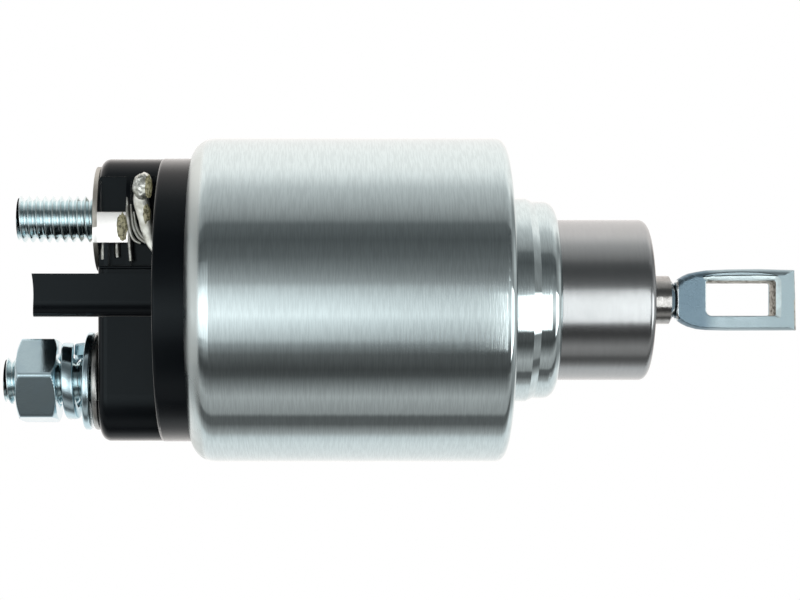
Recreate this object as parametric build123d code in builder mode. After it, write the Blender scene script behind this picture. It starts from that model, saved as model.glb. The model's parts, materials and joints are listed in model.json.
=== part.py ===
from build123d import *
import os

# Starter solenoid: a round steel housing with its coil, a sprung plunger with a pull eye at the front,
# and a moulded cap at the rear that carries two M8 studs, a shrouded blade and the moving contacts.
# Millimetres. The origin is the centre of the mounting face, +X runs out along the plunger, +Z is up
# through the upper stud, and -Y is the side that the shrouded blade is on.

# Clearances
running_gap = 0.08
front_bore_gap = 0.3
seat_gap = 0.05
spring_gap = 0.1

# Plunger, its rear recess and the end plug that holds the engaging spring in
plunger_r = 13.25
plunger_proud = 15.15
plunger_edge_r = 1.1
plunger_front_wall = 4.0
plunger_wall = 4.05
plunger_travel = 10.4
recess_depth = 4.4
recess_lip = 0.95
recess_taper = 2.1
plug_thickness = 2.6
plug_seat_step = 0.6
plug_nose_r = 3.0
plug_nose_length = 1.4
ring_thickness = 1.0
ring_groove_depth = 0.7
ring_height = 1.6
ring_land = 0.6
ring_slot_angle = 30

# Coil on its tube, built up outwards from the plunger
tube_wall = 0.5
tube_seat_depth = 3.0
bobbin_hub_wall = 1.0
bobbin_flange = 1.4
bobbin_gap = 0.25
disc_spring_thickness = 0.5
disc_spring_height = 1.0
pull_in_depth = 3.87
hold_in_depth = 3.75
winding_gap = 0.15
winding_margin = 0.7
lead_hole_r = 1.3

# Housing: drawn steel shell with a thick front wall, a spigot, and a lip rolled over the cap
shell_length = 51.4
shell_wall = 3.0
front_wall = 6.0
front_edge_r = 1.6
seat_wall = 1.8
lip_bend_r = 4.0
lip_reach = 3.25
lip_gap = 0.1
spigot_wall = 2.67
spigot_step = 0.55
spigot_step_length = 1.2
spigot_land = 3.5
spigot_length = 8.25
spigot_edge_r = 1.9
screw_count = 3
screw_inset = 4.65
screw_hole_r = 2.1
screw_mouth = 0.4

# Pull rod and the eye that is pressed into its end
rod_r = 4.0
rod_proud = 4.7
rod_tip_step = 1.15
rod_tip_length = 0.7
rod_head_thickness = 2.6
rod_head_step = 2.6
spring_seat_thickness = 1.6
spring_seat_margin = 0.3
eye_length = 20.2
eye_half_height = 5.1
eye_thickness = 3.5
eye_root_half_height = 2.8
eye_cheek_length = 1.3
eye_cheek_half_height = 4.4
eye_cheek_r = 2.5
eye_shoulder_length = 6.4
eye_window_from_rod = 5.45
eye_window_length = 11.45
eye_window_height = 5.6
eye_window_corner_r = 0.8
eye_neck_r = 2.7
eye_neck_length = 0.9
eye_shank_r = 2.4
eye_shank_length = 9.0
eye_edge_r = 0.6
eye_tilt = -6.0

# Fixed core: plate on the housing's inner step, and the boss that the plunger is drawn to
core_plate_thickness = 5.0
boss_height = 7.1
pole_gap = 0.4
cone_gap = 0.5
core_shank_wall = 2.0
core_spring_pocket_wall = 2.5
core_spring_pocket_drop = 1.0
contact_pocket_depth = 8.4

# Moving contact carrier
pin_r = 2.5
pin_collar_r = 5.6
pin_collar_side_gap = 1.4
pin_collar_thickness = 1.0
pin_collar_gap = 0.4
pin_shank_r = 2.0
pin_tail = 0.6
sleeve_wall = 1.2
fibre_overlap = 1.5
fibre_thickness = 0.8
bridge_end_gap = 1.5
bridge_width = 12.0
bridge_thickness = 2.0
bridge_corner_r = 2.0
clip_r = 4.5
clip_thickness = 0.7
contact_travel = 2.5

# Moulded cap
gasket_thickness = 1.0
gasket_width = 3.35
cap_foot_depth = 2.1
cap_flange_proud = 4.9
cap_flange_edge_r = 0.5
chamber_wall = 2.9
block_depth = 10.0
block_half_width = 8.5
block_end_inset = 0.1
block_corner_r = 8.0
block_edge_r = 1.6
spring_well_gap = 1.0
spring_well_depth = 8.0
recess_below_tab = 6.85
recess_above_tab = 7.85
recess_cut = 2.5
rib_from_flange = 5.0
rib_thickness = 0.7
small_rib_from_rib = 3.6
small_rib_height = 4.0

# Shrouded blade terminal
shroud_reach = 10.3
shroud_proud = 2.0
shroud_width = 11.8
shroud_height = 7.0
shroud_centre_z = 0.76
shroud_wall = 1.2
shroud_depth = 12.4
shroud_corner_r = 1.6
shroud_low_corner_r = 2.6
shroud_mouth_hollow = 0.3
blade_width = 6.3
blade_thickness = 0.8
blade_end_inset = 1.6
blade_tip = 1.0
blade_hole_r = 0.9
blade_hole_from_tip = 3.2
blade_root_depth = 1.7
blade_tail_width = 2.6
blade_tail_cover = 0.9
blade_foot = 2.6
blade_foot_reach = 5.9

# Studs and their fasteners
stud_r = 4.0
stud_30_reach = 16.0
stud_45_reach = 13.9
stud_chamfer = 0.35
stud_neck_step = 0.4
stud_head_height = 11.0
stud_head_width = 12.0
stud_head_thickness = 3.0
stud_head_corner_r = 1.5
stud_head_end_gap = 1.6
washer_r = 8.1
washer_hole_gap = 0.3
washer_thickness = 1.2
washer_tilt = 1.5
washer_gap = 0.25
lock_washer_hole_gap = 0.35
lock_washer_section = 2.0
lock_washer_rise = 1.8
lock_washer_turn = 345
nut_across_flats = 13.0
nut_height = 6.5
nut_turn = 10.0
nut_gap = 0.4

# Motor strap on the upper stud, and the winding leads soldered to it
strap_thickness = 0.8
strap_below_stud = 8.75
strap_above_stud = 8.65
strap_half_width = 7.0
strap_corner_r = 2.0
tab_width = 5.3
tab_below_stud = 1.2
tab_from_flange = 4.6
lead_r = 0.8
lead_from_tab = 4.3
lead_bend_r = 1.0
lead_on_tab = 3.0
loop_r = 1.0
loop_low_from_block = 2.5
loop_low_below_tab = 3.95
loop_high_from_block = 1.3
loop_high_above_tab = 4.75
loop_from_flange = 2.2
start_lead_rise = 1.35
solder_r = 2.0

# Springs: half the wire's width across corners, the turns, and the gap beside the coil
engaging_wire_r = 1.05
engaging_turns = 5.5
engaging_side_gap = 1.35
return_wire_r = 0.65
return_turns = 5
return_side_gap = 0.75
contact_wire_r = 0.5
contact_turns = 3
contact_side_gap = 0.2
bridge_wire_r = 0.45
bridge_turns = 5
bridge_side_gap = 0.35

# Radii worked out from the plunger outwards
tube_r = plunger_r + running_gap
tube_outer_r = tube_r + tube_wall
bobbin_bore_r = tube_outer_r + seat_gap
bobbin_hub_r = bobbin_bore_r + bobbin_hub_wall
pull_in_inner_r = bobbin_hub_r + winding_gap
pull_in_outer_r = pull_in_inner_r + pull_in_depth
hold_in_inner_r = pull_in_outer_r + winding_gap
hold_in_outer_r = hold_in_inner_r + hold_in_depth
bobbin_r = hold_in_outer_r + winding_margin
shell_bore_r = bobbin_r + bobbin_gap
shell_r = shell_bore_r + shell_wall
seat_r = shell_r - seat_wall
lip_centre_r = shell_r - lip_bend_r
lip_tip_r = shell_r - lip_reach
front_bore_r = tube_r + front_bore_gap
spigot_nose_r = front_bore_r + spigot_wall
spigot_r = spigot_nose_r + spigot_step
screw_circle_r = spigot_r + screw_inset

plunger_bore_r = plunger_r - plunger_wall
recess_mouth_r = plunger_r - recess_lip
recess_floor_r = recess_mouth_r - recess_taper
plug_seat_r = plunger_bore_r + plug_seat_step
ring_groove_r = plug_seat_r + ring_groove_depth
ring_outer_r = ring_groove_r - running_gap
rod_tip_r = rod_r - rod_tip_step
rod_head_r = rod_r + rod_head_step
engaging_spring_r = plunger_bore_r - engaging_side_gap - engaging_wire_r

core_cone_base_r = recess_mouth_r - cone_gap
core_cone_tip_r = recess_floor_r - cone_gap
core_spring_pocket_r = core_cone_tip_r - core_spring_pocket_wall
return_spring_r = core_spring_pocket_r - return_side_gap - return_wire_r
contact_pocket_r = pin_collar_r + pin_collar_side_gap
core_shank_r = contact_pocket_r + core_shank_wall
stop_washer_r = contact_pocket_r + fibre_overlap
rear_washer_r = clip_r + fibre_overlap
sleeve_r = pin_shank_r + seat_gap + sleeve_wall
contact_spring_r = pin_collar_r - contact_side_gap - contact_wire_r
bridge_spring_r = clip_r - bridge_side_gap - bridge_wire_r
spring_well_r = clip_r + spring_well_gap

cap_flange_r = lip_tip_r - lip_gap
cap_chamber_r = cap_flange_r - chamber_wall
foot_r = seat_r - lip_gap
gasket_inner_r = foot_r - gasket_width
bridge_half_length = cap_chamber_r - bridge_end_gap
block_half_height = cap_flange_r - block_end_inset
stud_offset = cap_chamber_r - stud_head_end_gap - stud_head_height / 2
stud_neck_r = stud_r + stud_neck_step
washer_hole_r = stud_r + washer_hole_gap
lock_washer_r = stud_r + lock_washer_hole_gap + lock_washer_section

# Places along X, worked out from the mounting face and the shell's length
lip_start = lip_bend_r - shell_length
plate_rear = lip_start + cap_foot_depth
plate_front = plate_rear + core_plate_thickness
cap_foot_front = plate_rear - gasket_thickness
cap_flange_rear = -shell_length - cap_flange_proud
cap_rear = cap_flange_rear - block_depth
shroud_end = cap_rear - shroud_reach
shroud_floor = shroud_end + shroud_depth
rib_x = cap_flange_rear - rib_from_flange
small_rib_x = rib_x - small_rib_from_rib
stud_30_end = cap_rear - stud_30_reach
stud_45_end = cap_rear - stud_45_reach
tube_seat_end = tube_seat_depth - front_wall

bobbin_front = -front_wall - disc_spring_height - seat_gap
bobbin_rear = plate_front + seat_gap
winding_front = bobbin_front - bobbin_flange - winding_gap
winding_rear = bobbin_rear + bobbin_flange + winding_gap

core_shoulder = plate_front + boss_height
plunger_rear = core_shoulder + pole_gap + plunger_travel
recess_floor = plunger_rear + recess_depth
core_tip = recess_floor - plunger_travel - pole_gap
core_spring_floor = core_shoulder - core_spring_pocket_drop
contact_pocket_floor = plate_rear + contact_pocket_depth
ring_rear = recess_floor + ring_land + seat_gap
plug_rear = ring_rear + ring_thickness + seat_gap
plug_shoulder = plug_rear + plug_thickness
plug_nose_end = plug_rear - plug_nose_length
plunger_front = spigot_length + plunger_proud
plunger_inner_face = plunger_front - plunger_front_wall

rod_head_rear = plug_shoulder + seat_gap
rod_head_front = rod_head_rear + rod_head_thickness
spring_seat_rear = rod_head_front + seat_gap
spring_seat_front = spring_seat_rear + spring_seat_thickness
rod_end = plunger_front + rod_proud
eye_start = rod_end + seat_gap
eye_end = rod_end + eye_length
eye_shoulder_x = rod_end + eye_shoulder_length
eye_window_start = rod_end + eye_window_from_rod

pin_front = plug_nose_end - plunger_travel + contact_travel - spring_gap
stop_washer_front = plate_rear - spring_gap
bridge_front = stop_washer_front - fibre_thickness
bridge_rear = bridge_front - bridge_thickness
rear_washer_rear = bridge_rear - fibre_thickness
clip_rear = rear_washer_rear - clip_thickness
pin_collar_front = contact_pocket_floor - pin_collar_gap
pin_collar_rear = pin_collar_front - pin_collar_thickness
stud_head_front = bridge_rear - contact_travel
chamber_floor = stud_head_front - stud_head_thickness
spring_well_floor = chamber_floor - spring_well_depth

washer_rear = cap_rear - washer_thickness
outer_washer_x = washer_rear - washer_gap - washer_thickness / 2
lock_washer_front = outer_washer_x - washer_thickness / 2 - washer_gap
lock_washer_rear = lock_washer_front - lock_washer_section - lock_washer_rise
nut_front = lock_washer_rear - nut_gap
nut_rear = nut_front - nut_height

# Places across the cap for the shroud, the strap's tab and the leads
shroud_near_y = -block_half_width - shroud_proud
shroud_y = shroud_near_y + shroud_width / 2
blade_inner_y = shroud_y + blade_width / 2
blade_tail_near_y = shroud_near_y + blade_tail_cover
blade_foot_y = blade_tail_near_y - blade_foot_reach
tab_y = -block_half_width - strap_thickness
tab_centre_z = stud_offset - tab_below_stud
tab_end = cap_flange_rear - tab_from_flange
recess_low = tab_centre_z - recess_below_tab
recess_high = tab_centre_z + recess_above_tab
strap_low = stud_offset - strap_below_stud
strap_high = stud_offset + strap_above_stud
lead_y = tab_y - lead_from_tab
loop_low_y = -block_half_width - loop_low_from_block
loop_low_z = tab_centre_z - loop_low_below_tab
loop_high_y = -block_half_width - loop_high_from_block
loop_high_z = tab_centre_z + loop_high_above_tab
loop_x = cap_flange_rear - loop_from_flange
start_lead_y = blade_foot_y + blade_foot / 2
start_lead_z = shroud_centre_z + start_lead_rise


def ring_section(x_rear, x_front, r_in, r_out):
    """Half section of a plain ring about the X axis, to be revolved."""
    with BuildSketch(Plane.XY) as section:
        with Locations(((x_rear + x_front) / 2, (r_in + r_out) / 2)):
            Rectangle(x_front - x_rear, r_out - r_in)
    return section.sketch


def turned_section(*corners):
    """Half section about the X axis through (x, radius) corners, to be revolved."""
    with BuildSketch(Plane.XY) as section:
        with BuildLine():
            Polyline(*corners, close=True)
        make_face()
    return section.sketch


def round_edges(part, x, radius):
    """The circular edges of a turned part at one place along X and one radius."""
    return [
        edge
        for edge in part.edges().filter_by(GeomType.CIRCLE)
        if abs(edge.arc_center.X - x) < 0.01 and abs(edge.radius - radius) < 0.01
    ]


def shroud_section(inset):
    """Cross-section of the blade's shroud, or with its wall as the inset that of the hollow in it."""
    with BuildSketch() as section:
        with Locations((shroud_y, shroud_centre_z)):
            Rectangle(shroud_width - 2 * inset, shroud_height - 2 * inset)
        near_low_corner = section.vertices().sort_by(Axis.X)[:2].sort_by(Axis.Y)[0]
        other_corners = [v for v in section.vertices() if v != near_low_corner]
        fillet(near_low_corner, radius=shroud_low_corner_r - inset)
        fillet(other_corners, radius=shroud_corner_r - inset)
    return section.sketch


def blade_root(gap):
    """Outline of the start blade inside the moulding, with a gap all round: its root and its tail."""
    root_front = shroud_floor + blade_root_depth
    with BuildSketch() as outline:
        with Locations(
            ((shroud_floor + root_front) / 2, (blade_tail_near_y + blade_inner_y) / 2)
        ):
            Rectangle(blade_root_depth + 2 * gap, blade_inner_y - blade_tail_near_y + 2 * gap)
        with Locations(
            ((shroud_floor + chamber_floor) / 2, blade_tail_near_y + blade_tail_width / 2)
        ):
            Rectangle(chamber_floor - shroud_floor + 2 * seat_gap, blade_tail_width + 2 * gap)
    return outline.sketch


def coil_spring(x_rear, x_front, mean_r, wire_r, turns):
    """An open-ended compression spring of six-sided wire between two seats on the X axis."""
    length = x_front - x_rear - 2 * (wire_r + spring_gap)
    with BuildPart() as spring:
        with BuildLine() as path:
            Helix(
                pitch=length / turns,
                height=length,
                radius=mean_r,
                center=(x_rear + wire_r + spring_gap, 0, 0),
                direction=(1, 0, 0),
            )
        with BuildSketch(Plane(origin=path.line @ 0, z_dir=path.line % 0)):
            RegularPolygon(radius=wire_r, side_count=6)
        sweep(is_frenet=True)
    return spring.part


# Housing shell, turned in one piece: shell, front wall, spigot and the rolled lip at the rear
with BuildPart() as housing_shell:
    with BuildSketch(Plane.XY):
        with BuildLine():
            outside = Polyline(
                (spigot_length, front_bore_r),
                (spigot_length, spigot_nose_r),
                (spigot_land + spigot_step_length, spigot_nose_r),
                (spigot_land, spigot_r),
                (0, spigot_r),
                (0, shell_r),
                (lip_start, shell_r),
            )
            lip_outer = CenterArc((lip_start, lip_centre_r), lip_bend_r, 90, 90)
            lip_inner = CenterArc((lip_start, lip_centre_r), lip_bend_r - seat_wall, 90, 90)
            Line(lip_outer @ 1, lip_inner @ 1)
            Polyline(
                lip_inner @ 0,
                (plate_front, seat_r),
                (plate_front, shell_bore_r),
                (-front_wall, shell_bore_r),
                (-front_wall, bobbin_bore_r),
                (tube_seat_end, bobbin_bore_r),
                (tube_seat_end, front_bore_r),
                outside @ 0,
            )
        make_face()
    revolve(axis=Axis.X)
    revolve(
        ring_section(-shell_length - lip_gap, plate_rear, 0, lip_tip_r),
        axis=Axis.X,
        mode=Mode.SUBTRACT,
    )
    fillet(round_edges(housing_shell, 0, shell_r), radius=front_edge_r)
    fillet(round_edges(housing_shell, spigot_length, spigot_nose_r), radius=spigot_edge_r)
    with BuildSketch(Plane.YZ):
        with PolarLocations(screw_circle_r, screw_count, start_angle=90):
            Circle(screw_hole_r)
    extrude(amount=-front_wall, mode=Mode.SUBTRACT)
    chamfer(round_edges(housing_shell, 0, screw_hole_r), length=screw_mouth)

# Brass tube that the plunger slides in
with BuildPart() as coil_tube:
    revolve(
        ring_section(plate_front + seat_gap, tube_seat_end - seat_gap, tube_r, tube_outer_r),
        axis=Axis.X,
    )

# Moulded bobbin
with BuildPart() as coil_bobbin:
    revolve(
        turned_section(
            (bobbin_front, bobbin_bore_r),
            (bobbin_front, bobbin_r),
            (bobbin_front - bobbin_flange, bobbin_r),
            (bobbin_front - bobbin_flange, bobbin_hub_r),
            (bobbin_rear + bobbin_flange, bobbin_hub_r),
            (bobbin_rear + bobbin_flange, bobbin_r),
            (bobbin_rear, bobbin_r),
            (bobbin_rear, bobbin_bore_r),
        ),
        axis=Axis.X,
    )

with BuildPart() as pull_in_winding:
    revolve(
        ring_section(winding_rear, winding_front, pull_in_inner_r, pull_in_outer_r),
        axis=Axis.X,
    )

with BuildPart() as hold_in_winding:
    revolve(
        ring_section(winding_rear, winding_front, hold_in_inner_r, hold_in_outer_r),
        axis=Axis.X,
    )

# Dished spring that keeps the bobbin against the core plate
with BuildPart() as coil_disc_spring:
    revolve(
        turned_section(
            (-front_wall - seat_gap, bobbin_hub_r),
            (-front_wall - seat_gap - disc_spring_thickness, bobbin_hub_r),
            (bobbin_front + seat_gap, hold_in_outer_r),
            (bobbin_front + seat_gap + disc_spring_thickness, hold_in_outer_r),
        ),
        axis=Axis.X,
    )

# Fixed core
with BuildPart() as core_plate:
    revolve(
        ring_section(plate_rear, plate_front, core_shank_r + seat_gap, foot_r),
        axis=Axis.X,
    )
    with BuildSketch(Plane.YZ.offset(plate_rear)):
        with Locations(
            (lead_y, tab_centre_z), (loop_low_y, loop_low_z), (start_lead_y, start_lead_z)
        ):
            Circle(lead_hole_r)
    extrude(amount=core_plate_thickness, mode=Mode.SUBTRACT)

with BuildPart() as core_boss:
    revolve(
        turned_section(
            (plate_rear, contact_pocket_r),
            (plate_rear, core_shank_r),
            (plate_front + seat_gap, core_shank_r),
            (plate_front + seat_gap, tube_r - seat_gap),
            (core_shoulder, tube_r - seat_gap),
            (core_shoulder, core_cone_base_r),
            (core_tip, core_cone_tip_r),
            (core_tip, core_spring_pocket_r),
            (core_spring_floor, core_spring_pocket_r),
            (core_spring_floor, pin_r + running_gap),
            (contact_pocket_floor, pin_r + running_gap),
            (contact_pocket_floor, contact_pocket_r),
        ),
        axis=Axis.X,
    )

with BuildPart() as cap_gasket:
    revolve(
        ring_section(cap_foot_front, plate_rear, gasket_inner_r, foot_r),
        axis=Axis.X,
    )

# Moulded cap: a foot held under the rolled lip, a round flange, and a block across it for the studs
with BuildPart() as terminal_cap:
    with BuildSketch(Plane.XY):
        with BuildLine():
            foot_arc = CenterArc((lip_start, lip_centre_r), foot_r - lip_centre_r, 90, 90)
            Polyline(
                foot_arc @ 0,
                (cap_foot_front, foot_r),
                (cap_foot_front, 0),
                ((foot_arc @ 1).X, 0),
                foot_arc @ 1,
            )
        make_face()
    revolve(axis=Axis.X)
    revolve(ring_section(cap_flange_rear, cap_foot_front, 0, cap_flange_r), axis=Axis.X)
    fillet(round_edges(terminal_cap, cap_flange_rear, cap_flange_r), radius=cap_flange_edge_r)

    with BuildSketch(Plane.YZ.offset(cap_flange_rear)):
        RectangleRounded(2 * block_half_width, 2 * block_half_height, block_corner_r)
    extrude(amount=cap_rear - cap_flange_rear)
    rear_face = terminal_cap.faces().sort_by(Axis.X)[0]
    fillet(rear_face.edges(), radius=block_edge_r)

    # Recess on the near side of the upper half, with a full rib and a short one left standing in it
    recess_height = recess_high - recess_low
    with BuildSketch(Plane.XZ.offset(block_half_width)):
        with Locations(((cap_rear + cap_flange_rear) / 2, (recess_low + recess_high) / 2)):
            Rectangle(cap_flange_rear - cap_rear, recess_height)
        with Locations((rib_x, (recess_low + recess_high) / 2)):
            Rectangle(rib_thickness, recess_height, mode=Mode.SUBTRACT)
        with Locations((small_rib_x, recess_low + small_rib_height / 2)):
            Rectangle(rib_thickness, small_rib_height, mode=Mode.SUBTRACT)
    extrude(amount=-recess_cut, mode=Mode.SUBTRACT)

    # Shroud of the blade terminal, a deep box between the studs that stands a little proud of the block
    with BuildSketch(Plane.YZ.offset(shroud_end)):
        add(shroud_section(0))
    extrude(amount=cap_flange_rear - shroud_end)
    with BuildSketch(Plane.YZ.offset(shroud_end)):
        add(shroud_section(shroud_wall))
    extrude(amount=shroud_depth, mode=Mode.SUBTRACT)
    with BuildSketch(Plane.XZ.offset(-shroud_near_y)):
        mouth_low, mouth_high = (
            shroud_centre_z + side * shroud_height / 2 for side in (-1, 1)
        )
        with BuildLine():
            ThreePointArc(
                (shroud_end, mouth_low),
                (shroud_end + shroud_mouth_hollow, shroud_centre_z),
                (shroud_end, mouth_high),
            )
            Line((shroud_end, mouth_high), (shroud_end, mouth_low))
        make_face()
    extrude(amount=-shroud_width, mode=Mode.SUBTRACT)

    # Contact chamber, the well of the bridge's return spring, and the holes through the wall
    revolve(
        ring_section(chamber_floor, cap_foot_front, 0, cap_chamber_r),
        axis=Axis.X,
        mode=Mode.SUBTRACT,
    )
    revolve(
        ring_section(spring_well_floor, chamber_floor, 0, spring_well_r),
        axis=Axis.X,
        mode=Mode.SUBTRACT,
    )
    with BuildSketch(Plane.YZ.offset(cap_rear)):
        with Locations((0, stud_offset), (0, -stud_offset)):
            Circle(stud_neck_r + seat_gap)
    extrude(amount=chamber_floor - cap_rear, mode=Mode.SUBTRACT)
    with BuildSketch(Plane.YZ.offset(cap_flange_rear)):
        with Locations((lead_y, tab_centre_z)):
            Circle(lead_r + seat_gap)
        with Locations((loop_low_y, loop_low_z), (loop_high_y, loop_high_z)):
            Circle(loop_r + seat_gap)
    extrude(amount=chamber_floor - cap_flange_rear, mode=Mode.SUBTRACT)
    with BuildSketch(Plane.XY.offset(shroud_centre_z)):
        add(blade_root(seat_gap))
    extrude(amount=blade_thickness / 2 + seat_gap, both=True, mode=Mode.SUBTRACT)

# Blade terminal, 6.3 by 0.8, stepped round the spring's well to a foot inside for the winding ends
with BuildPart() as start_blade:
    blade_rear = shroud_end + blade_end_inset
    blade_front = chamber_floor + seat_gap + blade_foot
    with BuildSketch(Plane.XY.offset(shroud_centre_z)):
        with Locations(((blade_rear + shroud_floor) / 2, shroud_y)):
            Rectangle(shroud_floor - blade_rear, blade_width)
        with Locations((blade_rear + blade_hole_from_tip, shroud_y)):
            Circle(blade_hole_r, mode=Mode.SUBTRACT)
        add(blade_root(0))
        foot_inner_y = blade_tail_near_y + blade_tail_width
        with Locations(((chamber_floor + seat_gap + blade_front) / 2, (blade_foot_y + foot_inner_y) / 2)):
            Rectangle(blade_foot, foot_inner_y - blade_foot_y)
    extrude(amount=blade_thickness / 2, both=True)
    tip_corners = start_blade.edges().filter_by(Axis.Z).group_by(Axis.X)[0]
    chamfer(tip_corners, length=blade_tip)


def terminal_bolt(side, neck_end, stud_end):
    """A terminal stud with its flat contact head, above the axis for side 1 and below it for -1."""
    with BuildPart() as bolt:
        with BuildSketch(Plane.YZ.offset(chamber_floor)):
            with Locations((0, side * stud_offset)):
                RectangleRounded(stud_head_width, stud_head_height, stud_head_corner_r)
        extrude(amount=stud_head_thickness)
        with BuildSketch(Plane.YZ.offset(neck_end)):
            with Locations((0, side * stud_offset)):
                Circle(stud_neck_r)
        extrude(amount=chamber_floor - neck_end)
        with BuildSketch(Plane.YZ.offset(stud_end)):
            with Locations((0, side * stud_offset)):
                Circle(stud_r)
        extrude(amount=neck_end - stud_end)
        chamfer(round_edges(bolt, stud_end, stud_r), length=stud_chamfer)
    return bolt.part


with BuildPart() as terminal_bolt_45:
    add(terminal_bolt(1, cap_rear - strap_thickness, stud_45_end))

with BuildPart() as terminal_bolt_30:
    add(terminal_bolt(-1, cap_rear, stud_30_end))

# Two flat washers, the outer one loose and a little tilted
with BuildPart() as flat_washers:
    inner_plane = Plane.YZ.offset(washer_rear)
    outer_plane = Plane(
        origin=(outer_washer_x, 0, -stud_offset),
        x_dir=(0, 1, 0),
        z_dir=(1, 0, 0),
    ).rotated((0, washer_tilt, 0))
    with BuildSketch(inner_plane):
        with Locations((0, -stud_offset)):
            Circle(washer_r)
            Circle(washer_hole_r, mode=Mode.SUBTRACT)
    extrude(amount=washer_thickness)
    with BuildSketch(outer_plane):
        Circle(washer_r)
        Circle(washer_hole_r, mode=Mode.SUBTRACT)
    extrude(amount=washer_thickness / 2, both=True)

# Split spring washer, one open turn of square wire
with BuildPart() as lock_washer:
    wire_centre_r = lock_washer_r - lock_washer_section / 2
    with BuildLine() as washer_path:
        Helix(
            pitch=lock_washer_rise * 360 / lock_washer_turn,
            height=lock_washer_rise,
            radius=wire_centre_r,
            center=(lock_washer_rear + lock_washer_section / 2, 0, -stud_offset),
            direction=(1, 0, 0),
        )
    path_start = washer_path.line @ 0
    outward = path_start - Vector(path_start.X, 0, -stud_offset)
    with BuildSketch(Plane(origin=path_start, x_dir=outward, z_dir=washer_path.line % 0)):
        Rectangle(lock_washer_section, lock_washer_section)
    sweep(is_frenet=True)

# Hexagon nut with its corners turned off on both faces
with BuildPart() as terminal_nut:
    nut_corner_r = nut_across_flats / 3**0.5
    nut_face_r = nut_across_flats / 2
    nut_corner_cut = (nut_corner_r - nut_face_r) / 3**0.5
    with BuildSketch(Plane.YZ.offset(nut_rear)):
        with Locations((0, -stud_offset)):
            RegularPolygon(radius=nut_corner_r, side_count=6, rotation=-nut_turn)
            Circle(stud_r + seat_gap, mode=Mode.SUBTRACT)
    extrude(amount=nut_height)
    with BuildSketch(Plane.XY.offset(-stud_offset)):
        with BuildLine():
            Polyline(
                (nut_rear, 0),
                (nut_rear, nut_face_r),
                (nut_rear + nut_corner_cut, nut_corner_r),
                (nut_front - nut_corner_cut, nut_corner_r),
                (nut_front, nut_face_r),
                (nut_front, 0),
                close=True,
            )
        make_face()
    revolve(axis=Axis((0, 0, -stud_offset), (1, 0, 0)), mode=Mode.INTERSECT)

# Motor strap: a plate over the upper stud, with a tab folded forward along the cap's near side
with BuildPart() as motor_strap:
    with BuildSketch(Plane.YZ.offset(cap_rear - strap_thickness)):
        with Locations((0, (strap_low + strap_high) / 2)):
            RectangleRounded(2 * strap_half_width, strap_high - strap_low, strap_corner_r)
        with Locations((tab_y / 2, tab_centre_z)):
            Rectangle(-tab_y, tab_width)
        with Locations((0, stud_offset)):
            Circle(stud_neck_r + seat_gap, mode=Mode.SUBTRACT)
    extrude(amount=strap_thickness)
    with BuildSketch(Plane.XZ.offset(-tab_y)):
        with Locations(((cap_rear - strap_thickness + tab_end) / 2, tab_centre_z)):
            Rectangle(tab_end - cap_rear + strap_thickness, tab_width)
    extrude(amount=-strap_thickness)
    fold = motor_strap.edges().filter_by(Axis.Z).group_by(Axis.X)[0].sort_by(Axis.Y)[0]
    fillet(fold, radius=strap_thickness)

# Winding leads: one to the strap's tab, and a loop out of the flange and back into it
with BuildPart() as pull_in_lead:
    lead_side_y = tab_y - seat_gap - lead_r
    with BuildLine() as lead_path:
        FilletPolyline(
            (bobbin_rear, lead_y, tab_centre_z),
            (tab_end, lead_y, tab_centre_z),
            (tab_end - lead_on_tab / 2, lead_side_y, tab_centre_z),
            (tab_end - lead_on_tab, lead_side_y, tab_centre_z),
            radius=lead_bend_r,
        )
    with BuildSketch(Plane(origin=lead_path.line @ 0, z_dir=lead_path.line % 0)):
        Circle(lead_r)
    sweep()

with BuildPart() as crossover_lead:
    with BuildLine() as loop_path:
        FilletPolyline(
            (bobbin_rear, loop_low_y, loop_low_z),
            (loop_x, loop_low_y, loop_low_z),
            (loop_x, loop_high_y, loop_high_z),
            (chamber_floor, loop_high_y, loop_high_z),
            radius=2 * loop_r,
        )
    with BuildSketch(Plane(origin=loop_path.line @ 0, z_dir=loop_path.line % 0)):
        Circle(loop_r)
    sweep()

with BuildPart() as start_lead:
    with BuildSketch(Plane.YZ.offset(chamber_floor + seat_gap)):
        with Locations((start_lead_y, start_lead_z)):
            Circle(lead_r)
    extrude(amount=bobbin_rear - chamber_floor - seat_gap)

# Solder over the lead on the tab, and over the loop where it goes back into the flange
with BuildPart() as solder_joints:
    with Locations(
        (tab_end - lead_on_tab / 2, lead_side_y, tab_centre_z),
        (loop_x, loop_high_y, loop_high_z),
    ):
        Sphere(solder_r)
    split(bisect_by=Plane.XZ.offset(-tab_y), keep=Keep.TOP)
    add(pull_in_lead.part, mode=Mode.SUBTRACT)
    add(crossover_lead.part, mode=Mode.SUBTRACT)

# Plunger: a hollow steel slug with a conical recess towards the core
with BuildPart() as plunger:
    revolve(
        turned_section(
            (plunger_front, rod_r + running_gap),
            (plunger_front, plunger_r),
            (plunger_rear, plunger_r),
            (plunger_rear, recess_mouth_r),
            (recess_floor, recess_floor_r),
            (recess_floor, plug_seat_r),
            (ring_rear - seat_gap, plug_seat_r),
            (ring_rear - seat_gap, ring_groove_r),
            (plug_rear, ring_groove_r),
            (plug_rear, plug_seat_r),
            (plug_shoulder, plug_seat_r),
            (plug_shoulder, plunger_bore_r),
            (plunger_inner_face, plunger_bore_r),
            (plunger_inner_face, rod_r + running_gap),
        ),
        axis=Axis.X,
    )
    fillet(round_edges(plunger, plunger_front, plunger_r), radius=plunger_edge_r)

with BuildPart() as plunger_plug:
    revolve(
        turned_section(
            (plug_nose_end, 0),
            (plug_nose_end, plug_nose_r),
            (plug_rear, plug_nose_r),
            (plug_rear, plug_seat_r - seat_gap),
            (plug_shoulder, plug_seat_r - seat_gap),
            (plug_shoulder, 0),
        ),
        axis=Axis.X,
    )

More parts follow.
